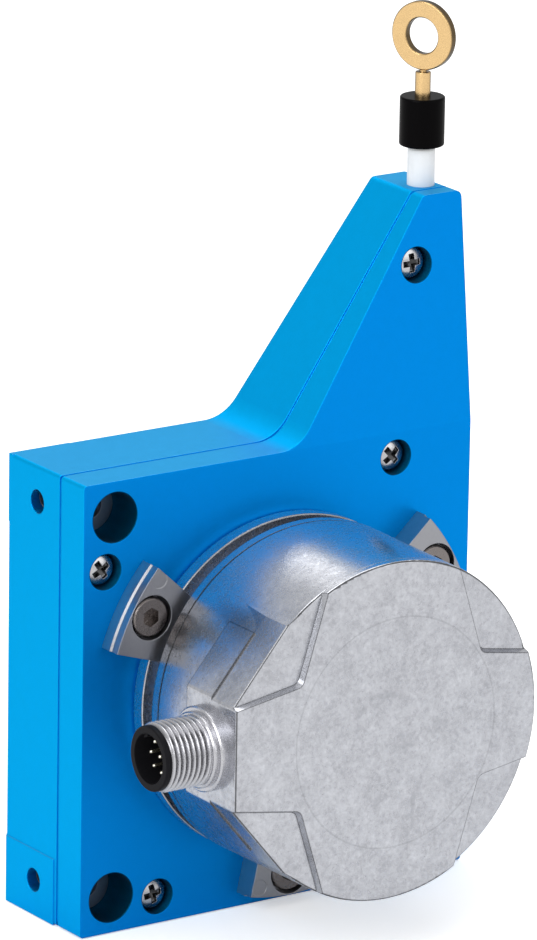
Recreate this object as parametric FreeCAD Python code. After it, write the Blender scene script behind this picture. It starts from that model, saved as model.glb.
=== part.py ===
"""Draw wire encoder: a spring-returned wire drum in a two-part housing, read by a 60 mm encoder.

Millimetres. X runs along the width, +Y from the encoder side to the wall side, Z up along the wire.
It is drawn from the encoder axis in X, the plate's front face in Y and the bottom face in Z, then
moved so that the origin lies on the wall plane, midway between the two mounting inserts.
"""
import FreeCAD
import Part
import math
import os

V = FreeCAD.Vector
AXIS_Y = V(0, 1, 0)

# Housing outline, seen along Y
LEFT_REACH = 40.0          # encoder axis to the left side
BODY_HEIGHT = 80.0         # height of the square section
AXIS_DROP = 0.3            # encoder and drum axis below mid-height
WIRE_MARGIN = 5.0          # wire line inside half the height of the square section
RIGHT_MARGIN = 4.0         # wire line to the right side
NECK_RISE = 40.0           # the neck's top face above the square section
NECK_LEFT_MARGIN = 4.2     # wire line to the left corner of the neck's top face
NECK_RIGHT_MARGIN = 3.7    # wire line to the right corner of the neck's top face
FLANK_FOOT = 3.45          # where the neck's sloped flank meets the square section
FLANK_RADIUS = 7.5         # round of that inner corner
NECK_CORNER_RADIUS = 1.2
BODY_CORNER_RADIUS = 0.6
OUTSIDE = 5.0              # how far cutting bodies reach past what they cut

# Housing depth
PLATE_THICK = 7.3          # front plate
CASE_DEPTH = 16.05         # rear housing behind the parting line
PAD_HEIGHT = 1.0           # corner pads on the rear face
PAD_SIZE = 12.0
NECK_FRONT_LEAN = 3.95     # how far the neck's front face leans back at the top
NECK_REAR_LEAN = 3.85      # how far its rear face leans forward at the top
PARTING_GROOVE = 0.3       # width and depth of the groove at the parting line
CASE_FLOOR = 2.2           # rear wall of the drum chamber
CHAMBER_MARGIN = 2.0       # drum chamber past the wire line
SIDE_LEDGE = 0.2           # lower mounting block, proud of the left side
SIDE_LEDGE_TOP = 11.8

# Mounting holes on the left side
INSERT_INSET_X = 6.2       # bore centre from the left side
INSERT_INSET_Z = 6.3       # bore centre from the bottom and from the top of the square section
INSERT_BORE_RADIUS = 4.4
INSERT_FIT = 0.02
INSERT_SINK = 0.25         # insert face below the parting plane
MOUNT_THREAD_RADIUS = 2.1  # core hole of the M5 thread
SIDE_HOLE_DEPTH_Y = 14.55  # side holes behind the front face

# Housing screws
SCREW_NEAR = 4.4           # screw pattern, distance from the near side
SCREW_FAR = 15.6           # screw pattern, distance from the far side
SCREW_LOWER_RISE = 0.4     # how much higher the lower left screw stands
NECK_SCREW_INSET = 6.15    # neck screw left of the wire line
NECK_SCREW_DROP = 11.7     # neck screw below the neck's top
SCREW_RECESS_RADIUS = 3.1
SCREW_RECESS_DEPTH = 3.3
SCREW_HEAD_RADIUS = 2.75
SCREW_HEAD_HEIGHT = 2.1
SCREW_HEAD_DOME = 0.7
SCREW_SHANK_RADIUS = 1.5
SCREW_LENGTH = 12.0
SCREW_CLEARANCE = 0.15
SCREW_END_GAP = 0.4        # blind hole past the screw's end
CROSS_WIDTH = 0.9
CROSS_SPAN = 3.1
CROSS_DEPTH = 1.2

# Drum, axle and bearings of the wire drum
WIRE_RADIUS = 0.275
WIRE_DEPTH_Y = 10.8        # wire line behind the front face
WIRE_START_RISE = 5.0      # where the straight run stands clear of the drum
WIRE_LAY_GAP = 0.35        # between the straight run and the wound layer
DRUM_FRONT = 9.2
DRUM_WIDTH = 11.0
DRUM_FLANGE = 0.9
DRUM_FLANGE_RISE = 1.5
DRUM_WALL = 2.5
DRUM_WEB = 2.0
HUB_RADIUS = 9.0
HUB_LENGTH = 4.0
AXLE_RADIUS = 6.0
AXLE_TAIL_RADIUS = 4.0
AXLE_FRONT = 3.3
AXLE_BORE_DEPTH = 9.0
AXLE_END_GAP = 0.3
WEB_HOLES = 6
WEB_HOLE_RADIUS = 3.5
FRONT_BEARING = (6.0, 10.5, 5.0)      # bore radius, outer radius, width
REAR_BEARING = (4.0, 8.0, 4.0)
BEARING_BOSS_WALL = 2.4
BEARING_LIP = 0.6
BEARING_LIP_HEIGHT = 1.5
RING_SHARE = 0.28          # share of a bearing's section in each ring
SHIELD_GAP = 0.15          # from a bearing's shield to its inner ring
SHIELD_INSET = 0.3

# Spring motor
SPRING_TURNS = 8
SPRING_STRIP = 0.6
SPRING_WIDTH = 5.5
SPRING_CLEARANCE = 0.4
SPRING_SIDE_GAP = 0.6
ARBOR_RADIUS = 10.0
ARBOR_LENGTH = 7.4

# Nozzle, wiper and wire end
NOZZLE_RADIUS = 2.4
NOZZLE_VISIBLE = 6.7
NOZZLE_SEAT = 8.0
NOZZLE_BORE_RADIUS = 0.7
NOZZLE_MOUTH = 0.8
WIPER_HEIGHT = 3.0
WIPER_GAP = 0.1            # between wire and wiper
NOZZLE_FIT = 0.01
GUIDE_FLOOR = 1.5          # drilled guide hole under the wiper
WIRE_CHANNEL_WIDTH = 4.0
STOPPER_RADIUS = 3.9
STOPPER_HEIGHT = 8.6
STOPPER_EDGE = 0.35
STOPPER_FLOOR = 1.0        # under the stem inside the stopper
WIRE_CRIMP = 5.6           # length of wire held in the stem
STEM_RADIUS = 1.35
STEM_HEIGHT = 5.2
EYELET_OUTER_RADIUS = 6.0
EYELET_HOLE_RADIUS = 3.15
EYELET_THICK = 1.6
EYELET_OVERLAP = 0.6       # ring over stem
EYELET_EDGE = 0.15
EYELET_TURN = -66.0        # the ring's face, turned from -Y about the wire
STOPPER_GAP = 0.3          # between the stopper and the nozzle

# Encoder
BASE_RADIUS = 30.0
BASE_WIDTH = 2.0
FLANGE_INSET = 0.1         # flange inside the base
FLANGE_THICK = 3.0
GROOVE_DEPTH = 2.9
GROOVE_WIDTH = 2.9
PILOT_RADIUS = 18.0
PILOT_LENGTH = 2.8
PILOT_CLEARANCE = 0.05
PILOT_RECESS_EXTRA = 0.2
ENCODER_LENGTH = 33.7      # plate face to the cap's front face
CAP_DRAFT = 0.3            # front radius less than the base's
CAP_WALL = 2.4
CAP_FRONT_WALL = 3.0
RIM_ROUND = 0.45
CAP_SEAM = 0.2
SPIGOT_HEIGHT = 1.5        # base spigot inside the cap
SPIGOT_GAP = 0.1
CASTING_EDGE = 0.2         # broken edges of the turned base
RECESS_DEPTH = 1.1
RECESS_DRAFT = 0.35
PLATEAU_INSET = 0.03       # the raised cross stands this far inside the drafted side
RECESS_CORNER = (18.2, 10.9)
SIDE_ARM_END = 8.7
TOP_ARM_END = (13.2, 27.0)
RECESS_ROUND = 1.6
BOSS_PROUD = 1.4           # boss past the base's radius
BOSS_REAR = 18.8
BOSS_EDGE = 0.4
BOSS_CORNER_ROUND = 1.1
FACET_SINK = 0.2           # facet inside the base's radius
FACET_ANGLE = 140.0
FACET_END_ANGLE = 133.9
FACET_STEP_ANGLE = 130.8     # where the facet's end slope runs out on the drafted side
BOSS_SIDE_ANGLE = 143.2       # the boss's block ends here behind the level strip, under the pad
FACET_STRIP_REAR = 26.2      # the facet is level in front of this depth and sinks away behind it
FACET_FADE = 15.5            # depth where it has sunk into the drafted side
FACET_INNER = 0.8            # hidden inner edge of the facet's block, part of the corner's distance
FACET_REAR = 8.0
LABEL_PAD_RISE = 0.25
LABEL_PAD_WIDTH = 7.4
LABEL_PAD_END_ANGLE = 140.3
SEAL_RADIUS = 0.8
SEAL_INSET = 3.8           # seal's middle inside the base's radius
ENCODER_SHAFT_RADIUS = 3.0
ENCODER_SHAFT_GAP = 0.9      # from the shaft's end to the bottom of the axle's bore
ENCODER_SHAFT_FLAT = 0.5
ENCODER_BEARING = (3.0, 7.5, 4.6)
ENCODER_BEARING_GAP = 0.3
ENCODER_HUB_WALL = 3.0
ENCODER_BASE_WALL = 4.0
BEARING_STOP = 0.4
DISC_PILLAR_GAP = 1.1      # between the disc and the board's pillars
DISC_THICK = 1.0
DISC_HUB_RADIUS = 6.0
DISC_HUB_LENGTH = 3.0
DISC_HUB_GAP = 0.6         # from the base to the hub
BOARD_INSET = 6.0          # board inside the base's radius
BOARD_THICK = 1.6
BOARD_FRONT = 16.5
BOARD_PILLARS = 3
BOARD_PILLAR_RADIUS = 2.4
BOARD_PILLAR_INSET = 1.5   # pillars' circle inside the board's edge
READER_SIZE = (7.0, 3.0, 9.0)
READER_RISE = 9.0          # above the axis

# M12 connector
CONNECTOR_DEPTH_Y = 24.6   # connector axis in front of the plate
THREAD_RADIUS = 6.0
THREAD_LENGTH = 7.8        # past the ring at the thread's root
THREAD_CHAMFER = 0.5
COLLAR_RADIUS = 7.3
COLLAR_THICK = 1.6
NECK_RING_RADIUS = 6.5
NECK_RING_THICK = 0.9
CONNECTOR_BORE = 4.95
SHELL_TAIL_RADIUS = 5.5    # part of the shell inside the boss
INSERT_RING_RADIUS = 5.6
INSERT_RING_PROUD = 1.0    # insert past the thread's end
CUP_RADIUS = 4.3
CUP_DEPTH = 8.5
CONNECTOR_SINK = 5.4       # insert's root below the boss's face
PIN_CIRCLE = 2.75
PIN_RADIUS = 0.4
PIN_SINK = 2.0
PIN_COUNT = 7
PIN_START = 2.5            # degrees
PIN_TAIL = 2.6             # pins past the insert's root
PIN_BOARD_THICK = 1.0
PIN_BOARD_REACH = 4.2
PIN_BOARD_HALF = 6.0
KEY_WIDTH = 1.3
KEY_RISE = 0.6

# Servo clamps
CLAMP_COUNT = 3
CLAMP_FIRST_ANGLE = 30.0
CLAMP_REACH = 8.1          # clamp past the flange
CLAMP_GROOVE_GAP = 0.5     # between the clamp's lip and the groove's bottom
CLAMP_SEAT_GAP = 0.02
CLAMP_HOLE_CLEARANCE = 0.1
CLAMP_HALF_ANGLE = 12.3
CLAMP_HEIGHT = 4.4
CLAMP_STEP = 0.3
CLAMP_STEP_HEIGHT = 2.4
CLAMP_PLAY = 0.3
EJECTOR_MARK_INSET = 2.0   # mark's middle inside the clamp's outer edge
EJECTOR_MARK_ANGLE = -10.1
EJECTOR_MARK_RADIUS = 1.45
EJECTOR_MARK_DEPTH = 0.08
CLAMP_SCREW_OFFSET = 3.7   # screw circle past the flange
CLAMP_COUNTERBORE = 3.95
CLAMP_COUNTERBORE_DEPTH = 3.1
CLAMP_SCREW_HEAD = 3.45
CLAMP_SCREW_HEAD_HEIGHT = 2.9
CLAMP_SCREW_SHANK = 2.0
CLAMP_SCREW_LENGTH = 7.0
HEX_ACROSS = 3.0
HEX_DEPTH = 2.2

# Derived places
AXIS_HEIGHT = BODY_HEIGHT / 2.0 - AXIS_DROP
WIRE_REACH = BODY_HEIGHT / 2.0 - WIRE_MARGIN
RIGHT_REACH = WIRE_REACH + RIGHT_MARGIN
NECK_TOP = BODY_HEIGHT + NECK_RISE
NECK_LEFT = WIRE_REACH - NECK_LEFT_MARGIN
NECK_RIGHT = WIRE_REACH + NECK_RIGHT_MARGIN
NECK_SCREW_X = WIRE_REACH - NECK_SCREW_INSET
NECK_SCREW_Z = NECK_TOP - NECK_SCREW_DROP
CHAMBER_RADIUS = WIRE_REACH + CHAMBER_MARGIN
FLANGE_RADIUS = BASE_RADIUS - FLANGE_INSET
GROOVE_RADIUS = FLANGE_RADIUS - GROOVE_DEPTH
CAP_FRONT_RADIUS = BASE_RADIUS - CAP_DRAFT
BOSS_REACH = BASE_RADIUS + BOSS_PROUD
FACET_DISTANCE = BASE_RADIUS - FACET_SINK
SEAL_RING_RADIUS = BASE_RADIUS - SEAL_INSET
BOARD_RADIUS = BASE_RADIUS - BOARD_INSET
BOARD_PILLAR_CIRCLE = BOARD_RADIUS - BOARD_PILLAR_INSET
DISC_RADIUS = BOARD_PILLAR_CIRCLE - BOARD_PILLAR_RADIUS - DISC_PILLAR_GAP
COLLAR_END = BOSS_REACH + COLLAR_THICK
NECK_RING_END = COLLAR_END + NECK_RING_THICK
THREAD_END = NECK_RING_END + THREAD_LENGTH
INSERT_RING_END = THREAD_END + INSERT_RING_PROUD
CONNECTOR_INSERT_ROOT = BOSS_REACH - CONNECTOR_SINK
PIN_ROOT = CONNECTOR_INSERT_ROOT - PIN_TAIL
CLAMP_OUTER = FLANGE_RADIUS + CLAMP_REACH
CLAMP_INNER = GROOVE_RADIUS + CLAMP_GROOVE_GAP
CLAMP_SCREW_CIRCLE = FLANGE_RADIUS + CLAMP_SCREW_OFFSET
CASE_BACK = PLATE_THICK + CASE_DEPTH
WALL_PLANE = CASE_BACK + PAD_HEIGHT
ORIGIN = V(-LEFT_REACH + INSERT_INSET_X, WALL_PLANE, BODY_HEIGHT / 2.0)
INNER_BACK = CASE_BACK - CASE_FLOOR
DRUM_BACK = DRUM_FRONT + DRUM_WIDTH
DRUM_RADIUS = WIRE_REACH - WIRE_RADIUS
DRUM_INNER_RADIUS = DRUM_RADIUS - DRUM_WALL
FLANGE_RISE_RADIUS = DRUM_RADIUS + DRUM_FLANGE_RISE
FRONT_BEARING_Y = AXLE_FRONT + BEARING_LIP
PILOT_RECESS = PILOT_LENGTH + PILOT_RECESS_EXTRA
REAR_BEARING_Y = INNER_BACK - REAR_BEARING[2]
BASE_FRONT = FLANGE_THICK + GROOVE_WIDTH + BASE_WIDTH
NOZZLE_TOP = NECK_TOP + NOZZLE_VISIBLE
NOZZLE_FOOT = NECK_TOP - NOZZLE_SEAT
STOPPER_BOTTOM = NOZZLE_TOP + STOPPER_GAP
STOPPER_TOP = STOPPER_BOTTOM + STOPPER_HEIGHT
WIRE_TOP = STOPPER_BOTTOM + STOPPER_FLOOR + WIRE_CRIMP
EYELET_HEIGHT = STOPPER_TOP + STEM_HEIGHT + EYELET_OUTER_RADIUS - EYELET_OVERLAP
AXIS_POINT = V(0, 0, AXIS_HEIGHT)


def rod(radius, y0, y1, x=0.0, z=AXIS_HEIGHT):
    """Cylinder along Y between two depths."""
    return Part.makeCylinder(radius, y1 - y0, V(x, y0, z), AXIS_Y)


def tube(outer, inner, y0, y1, x=0.0, z=AXIS_HEIGHT):
    """Ring along Y between two depths."""
    return rod(outer, y0, y1, x, z).cut(rod(inner, y0 - 1, y1 + 1, x, z))


def block(x0, x1, y0, y1, z0, z1):
    """Box between two corners."""
    return Part.makeBox(x1 - x0, y1 - y0, z1 - z0, V(x0, y0, z0))


def turned(profile, angle=360.0):
    """Solid turned about the encoder axis from (radius, depth) points that lie in the plane Z = axis."""
    points = [V(r, y, AXIS_HEIGHT) for r, y in profile]
    face = Part.Face(Part.makePolygon(points + [points[0]]))
    return face.revolve(AXIS_POINT, AXIS_Y, angle)


def around(shape, angle):
    """Copy of a shape turned about the encoder axis, positive from +X towards +Z."""
    copy = shape.copy()
    copy.rotate(AXIS_POINT, V(0, -1, 0), angle)
    return copy


def rounded_wire(corners, y):
    """Closed wire in the plane Y = y from (x, z, radius) corners, each rounded by a tangent arc."""
    edges = []
    ends = []
    count = len(corners)
    for i, (x, z, radius) in enumerate(corners):
        here = V(x, y, z)
        before = V(corners[i - 1][0], y, corners[i - 1][1])
        after = V(corners[(i + 1) % count][0], y, corners[(i + 1) % count][1])
        to_before = (before - here).normalize()
        to_after = (after - here).normalize()
        half = to_before.getAngle(to_after) / 2.0
        if radius <= 0:
            ends.append((here, None, here))
            continue
        reach = radius / math.tan(half)
        bisector = (to_before + to_after).normalize()
        centre = here + bisector * (radius / math.sin(half))
        middle = centre - bisector * radius
        ends.append((here + to_before * reach, middle, here + to_after * reach))
    for i, (start, middle, stop) in enumerate(ends):
        if middle is not None:
            edges.append(Part.Arc(start, middle, stop).toShape())
        following = ends[(i + 1) % count][0]
        edges.append(Part.LineSegment(stop, following).toShape())
    return Part.Wire(edges)


def prism(corners, y0, y1):
    """Rounded outline run along Y."""
    return Part.Face(rounded_wire(corners, y0)).extrude(V(0, y1 - y0, 0))


def outline(inset=0.0):
    """Housing outline in X and Z, drawn in by an inset."""
    slope = (NECK_LEFT - FLANK_FOOT) / (NECK_TOP - BODY_HEIGHT)
    shift = inset * math.sqrt(1 + slope * slope)
    top = BODY_HEIGHT - inset
    neck = NECK_TOP - inset
    return [
        (-LEFT_REACH + inset, inset, BODY_CORNER_RADIUS),
        (RIGHT_REACH - inset, inset, BODY_CORNER_RADIUS),
        (RIGHT_REACH - inset, BODY_HEIGHT, 0.0),
        (NECK_RIGHT - inset, neck, NECK_CORNER_RADIUS),
        (NECK_LEFT + shift - inset * slope, neck, NECK_CORNER_RADIUS),
        (FLANK_FOOT + shift - inset * slope, top, FLANK_RADIUS),
        (-LEFT_REACH + inset, top, BODY_CORNER_RADIUS),
    ]


def lean_cut(front):
    """Wedge that leans the neck's front or rear face, from the square section up to the neck's top."""
    rise = NECK_TOP - BODY_HEIGHT
    over = rise * 0.25
    if front:
        lean = NECK_FRONT_LEAN
        face_y = 0.0
        outside = -OUTSIDE
    else:
        lean = -NECK_REAR_LEAN
        face_y = CASE_BACK
        outside = CASE_BACK + PAD_HEIGHT + OUTSIDE
    points = [
        V(-LEFT_REACH - 1, face_y, BODY_HEIGHT),
        V(-LEFT_REACH - 1, face_y + lean * (rise + over) / rise, NECK_TOP + over),
        V(-LEFT_REACH - 1, outside, NECK_TOP + over),
        V(-LEFT_REACH - 1, outside, BODY_HEIGHT),
    ]
    face = Part.Face(Part.makePolygon(points + [points[0]]))
    return face.extrude(V(LEFT_REACH + RIGHT_REACH + 2, 0, 0))


def housing_screw_places():
    """X, Z and head-face depth of the housing screws: a pinwheel round the square and one in the neck."""
    right = RIGHT_REACH
    places = [
        (-LEFT_REACH + SCREW_NEAR, BODY_HEIGHT - SCREW_FAR, 0.0),
        (-LEFT_REACH + SCREW_FAR, SCREW_NEAR + SCREW_LOWER_RISE, 0.0),
        (right - SCREW_FAR, BODY_HEIGHT - SCREW_NEAR, 0.0),
        (right - SCREW_NEAR, SCREW_FAR, 0.0),
    ]
    lean = NECK_FRONT_LEAN * (NECK_SCREW_Z - BODY_HEIGHT) / (NECK_TOP - BODY_HEIGHT)
    places.append((NECK_SCREW_X, NECK_SCREW_Z, lean))
    return places


def insert_places():
    """X and Z of the two mounting inserts."""
    x = -LEFT_REACH + INSERT_INSET_X
    return [(x, BODY_HEIGHT - INSERT_INSET_Z), (x, INSERT_INSET_Z)]


def clamp_angles():
    """Angles of the servo clamps about the encoder axis."""
    return [CLAMP_FIRST_ANGLE + 360.0 / CLAMP_COUNT * i for i in range(CLAMP_COUNT)]


def side_hole(z):
    """Side mounting hole from the left side face into the insert bore."""
    reach = INSERT_INSET_X + SIDE_LEDGE + 1
    return Part.makeCylinder(MOUNT_THREAD_RADIUS, reach, V(-LEFT_REACH - SIDE_LEDGE - 1, SIDE_HOLE_DEPTH_Y, z),
                             V(1, 0, 0))


def parting_groove(y0, y1):
    """Shallow groove round the outline at the parting line."""
    return prism(outline(-OUTSIDE), y0, y1).cut(prism(outline(PARTING_GROOVE), y0 - 1, y1 + 1))


def make_front_plate():
    plate = prism(outline(), 0.0, PLATE_THICK).cut(lean_cut(True))
    plate = plate.cut(parting_groove(PLATE_THICK - PARTING_GROOVE, PLATE_THICK + 1))
    boss_end = FRONT_BEARING_Y + FRONT_BEARING[2]
    plate = plate.fuse(rod(FRONT_BEARING[1] + BEARING_BOSS_WALL, PLATE_THICK - 1, boss_end))
    plate = plate.cut(rod(PILOT_RADIUS + PILOT_CLEARANCE, -1, PILOT_RECESS))
    plate = plate.cut(rod(FRONT_BEARING[1], FRONT_BEARING_Y, boss_end + 1))
    plate = plate.cut(rod(FRONT_BEARING[1] - BEARING_LIP_HEIGHT, 0, FRONT_BEARING_Y + 1))
    for x, z in insert_places():
        plate = plate.cut(rod(INSERT_BORE_RADIUS, -1, PLATE_THICK + 1, x, z))
    for x, z, face in housing_screw_places():
        plate = plate.cut(rod(SCREW_RECESS_RADIUS, -1, face + SCREW_RECESS_DEPTH, x, z))
        plate = plate.cut(rod(SCREW_SHANK_RADIUS + SCREW_CLEARANCE, -1, PLATE_THICK + 1, x, z))
    depth = CLAMP_SCREW_LENGTH - (CLAMP_HEIGHT - CLAMP_COUNTERBORE_DEPTH) + SCREW_END_GAP
    for angle in clamp_angles():
        hole = rod(CLAMP_SCREW_SHANK, -1, depth, CLAMP_SCREW_CIRCLE, AXIS_HEIGHT)
        plate = plate.cut(around(hole, angle))
    return plate.removeSplitter()


def make_rear_housing():
    case = prism(outline(), PLATE_THICK, CASE_BACK)
    ledge = block(-LEFT_REACH - SIDE_LEDGE, -LEFT_REACH + 1, PLATE_THICK + 1.0, CASE_BACK, 0.0, SIDE_LEDGE_TOP)
    case = case.fuse(ledge)
    left = -LEFT_REACH
    right = RIGHT_REACH - PAD_SIZE
    for x in (left, right):
        for z in (0.0, BODY_HEIGHT - PAD_SIZE):
            pad = block(x, x + PAD_SIZE, CASE_BACK - 1, CASE_BACK + PAD_HEIGHT, z, z + PAD_SIZE)
            edges = [e for e in pad.Edges if min(v.Y for v in e.Vertexes) > CASE_BACK + PAD_HEIGHT / 2]
            case = case.fuse(pad.makeChamfer(PAD_HEIGHT * 0.8, edges))
    case = case.cut(lean_cut(False))
    case = case.cut(parting_groove(PLATE_THICK - 1, PLATE_THICK + PARTING_GROOVE))
    case = case.cut(rod(CHAMBER_RADIUS, PLATE_THICK - 1, INNER_BACK))
    case = case.fuse(rod(ARBOR_RADIUS, INNER_BACK - ARBOR_LENGTH, INNER_BACK + 0.5))
    case = case.cut(rod(REAR_BEARING[1], REAR_BEARING_Y, INNER_BACK))
    case = case.cut(rod(REAR_BEARING[1] - BEARING_LIP_HEIGHT, INNER_BACK - ARBOR_LENGTH - 1, REAR_BEARING_Y + 1))
    half = WIRE_CHANNEL_WIDTH / 2.0
    wiper_foot = NOZZLE_FOOT - WIPER_HEIGHT
    case = case.cut(block(WIRE_REACH - half, WIRE_REACH + half, WIRE_DEPTH_Y - half, WIRE_DEPTH_Y + half,
                          AXIS_HEIGHT, wiper_foot - GUIDE_FLOOR))
    case = case.cut(upright(NOZZLE_RADIUS + NOZZLE_FIT, wiper_foot, NECK_TOP + 1))
    case = case.cut(upright(NOZZLE_MOUTH, wiper_foot - GUIDE_FLOOR - 1, wiper_foot + 1))
    for x, z in insert_places():
        case = case.cut(rod(INSERT_BORE_RADIUS + INSERT_FIT, PLATE_THICK - 1, WALL_PLANE + 1, x, z))
        case = case.cut(side_hole(z))
    for x, z, face in housing_screw_places():
        depth = face + SCREW_RECESS_DEPTH + SCREW_LENGTH + SCREW_END_GAP
        case = case.cut(rod(SCREW_SHANK_RADIUS, PLATE_THICK - 1, depth, x, z))
    return case.removeSplitter()


def make_mounting_insert(x, z):
    """Steel insert with a thread along Y for the wall side and a cross thread for the left side."""
    y0 = PLATE_THICK + INSERT_SINK
    body = rod(INSERT_BORE_RADIUS, y0, WALL_PLANE, x, z)
    body = body.cut(rod(MOUNT_THREAD_RADIUS, y0 - 1, WALL_PLANE + 1, x, z))
    return body.cut(side_hole(z))


def cross_recess(x, z, y):
    """Cross-shaped drive recess that tapers in from the head."""
    cut = None
    for turn in (0.0, 90.0):
        half = CROSS_WIDTH / 2.0
        span = CROSS_SPAN / 2.0
        low = [V(-span, -1, -half), V(span, -1, -half), V(span, -1, half), V(-span, -1, half)]
        tip = [V(-half, CROSS_DEPTH, -half * 0.6), V(half, CROSS_DEPTH, -half * 0.6),
               V(half, CROSS_DEPTH, half * 0.6), V(-half, CROSS_DEPTH, half * 0.6)]
        arm = Part.makeLoft([Part.makePolygon(low + [low[0]]), Part.makePolygon(tip + [tip[0]])], True, True)
        arm.rotate(V(0, 0, 0), AXIS_Y, turn + 20.0)
        cut = arm if cut is None else cut.fuse(arm)
    cut.translate(V(x, y, z))
    return cut


def make_housing_screw(x, z, face):
    seat = face + SCREW_RECESS_DEPTH
    top = seat - SCREW_HEAD_HEIGHT
    dome = Part.Arc(V(0, top, 0), V(SCREW_HEAD_RADIUS * 0.6, top + SCREW_HEAD_DOME * 0.3, 0),
                    V(SCREW_HEAD_RADIUS, top + SCREW_HEAD_DOME, 0)).toShape()
    corners = [V(SCREW_HEAD_RADIUS, top + SCREW_HEAD_DOME, 0), V(SCREW_HEAD_RADIUS, seat, 0),
               V(SCREW_SHANK_RADIUS, seat, 0), V(SCREW_SHANK_RADIUS, seat + SCREW_LENGTH, 0),
               V(0, seat + SCREW_LENGTH, 0), V(0, top, 0)]
    edges = [dome] + [Part.LineSegment(a, b).toShape() for a, b in zip(corners[:-1], corners[1:])]
    screw = Part.Face(Part.Wire(edges)).revolve(V(0, 0, 0), AXIS_Y, 360)
    screw.translate(V(x, 0, z))
    return screw.cut(cross_recess(x, z, top))


def make_bearing(size, y0):
    """Shielded ball bearing: the outer ring with its shields, and the inner ring."""
    bore, outer, width = size
    section = (outer - bore) * RING_SHARE
    inner_top = bore + section
    shield = inner_top + SHIELD_GAP
    y1 = y0 + width
    outer_ring = turned([(outer - section, y0 + SHIELD_INSET), (outer - section, y1 - SHIELD_INSET),
                         (shield, y1 - SHIELD_INSET), (shield, y1), (outer, y1), (outer, y0), (shield, y0),
                         (shield, y0 + SHIELD_INSET)])
    return outer_ring, tube(inner_top, bore, y0, y0 + width)


def make_drum():
    drum = turned([
        (DRUM_INNER_RADIUS, DRUM_FRONT), (FLANGE_RISE_RADIUS, DRUM_FRONT),
        (FLANGE_RISE_RADIUS, DRUM_FRONT + DRUM_FLANGE), (DRUM_RADIUS, DRUM_FRONT + DRUM_FLANGE),
        (DRUM_RADIUS, DRUM_BACK - DRUM_FLANGE), (FLANGE_RISE_RADIUS, DRUM_BACK - DRUM_FLANGE),
        (FLANGE_RISE_RADIUS, DRUM_BACK), (DRUM_INNER_RADIUS, DRUM_BACK),
    ])
    drum = drum.fuse(rod(DRUM_INNER_RADIUS + 0.5, DRUM_FRONT, DRUM_FRONT + DRUM_WEB))
    drum = drum.fuse(rod(HUB_RADIUS, DRUM_FRONT, DRUM_FRONT + HUB_LENGTH))
    drum = drum.cut(rod(AXLE_RADIUS, DRUM_FRONT - 1, DRUM_BACK))
    circle = (HUB_RADIUS + DRUM_INNER_RADIUS) / 2.0
    for i in range(WEB_HOLES):
        hole = rod(WEB_HOLE_RADIUS, DRUM_FRONT - 1, DRUM_FRONT + DRUM_WEB + 1, circle)
        drum = drum.cut(around(hole, 360.0 / WEB_HOLES * i))
    return drum


def make_axle():
    shoulder = DRUM_FRONT + HUB_LENGTH
    axle = rod(AXLE_RADIUS, AXLE_FRONT, shoulder).fuse(rod(AXLE_TAIL_RADIUS, shoulder - 1, INNER_BACK - AXLE_END_GAP))
    bore = encoder_shaft_section(AXLE_FRONT - 1, AXLE_FRONT + AXLE_BORE_DEPTH)
    return axle.cut(bore)


def encoder_shaft_section(y0, y1):
    """Encoder shaft with its driving flat."""
    shaft = rod(ENCODER_SHAFT_RADIUS, y0, y1)
    r = ENCODER_SHAFT_RADIUS
    flat = block(-r, r, y0 - 1, y1 + 1, AXIS_HEIGHT + r - ENCODER_SHAFT_FLAT, AXIS_HEIGHT + r + 1)
    return shaft.cut(flat)


def make_encoder_shaft():
    flat_start = AXLE_FRONT
    front = -(BASE_FRONT + DISC_HUB_GAP + DISC_HUB_LENGTH + DISC_THICK)
    plain = rod(ENCODER_SHAFT_RADIUS, front, flat_start)
    return plain.fuse(encoder_shaft_section(flat_start, AXLE_FRONT + AXLE_BORE_DEPTH - ENCODER_SHAFT_GAP))


def make_spring():
    """Spiral of half circles about two centres, run along Y, inner coil on the arbor, outer coil in the drum."""
    outer = DRUM_INNER_RADIUS - SPRING_CLEARANCE
    inner = ARBOR_RADIUS + SPRING_STRIP
    halves = 2 * SPRING_TURNS
    step = (outer - inner) / halves
    y0 = DRUM_FRONT + HUB_LENGTH + SPRING_SIDE_GAP

    def half_circles(offset):
        edges = []
        for i in range(halves):
            centre = -step / 2.0 if i % 2 == 0 else step / 2.0
            radius = inner + offset + step * (i + 0.5)
            up = 1 if i % 2 == 0 else -1
            edges.append(Part.Arc(V(centre + radius * up, y0, AXIS_HEIGHT), V(centre, y0, AXIS_HEIGHT + radius * up),
                                  V(centre - radius * up, y0, AXIS_HEIGHT)).toShape())
        return edges

    inner_run = half_circles(-SPRING_STRIP)
    outer_run = half_circles(0.0)
    first = Part.LineSegment(outer_run[0].Vertexes[0].Point, inner_run[0].Vertexes[0].Point).toShape()
    last = Part.LineSegment(outer_run[-1].Vertexes[-1].Point, inner_run[-1].Vertexes[-1].Point).toShape()
    wire = Part.Wire(Part.__sortEdges__(inner_run + outer_run + [first, last]))
    return Part.Face(wire).extrude(V(0, SPRING_WIDTH, 0))


def upright(radius, z0, z1):
    """Cylinder along the wire line."""
    return Part.makeCylinder(radius, z1 - z0, V(WIRE_REACH, WIRE_DEPTH_Y, z0))


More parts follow.
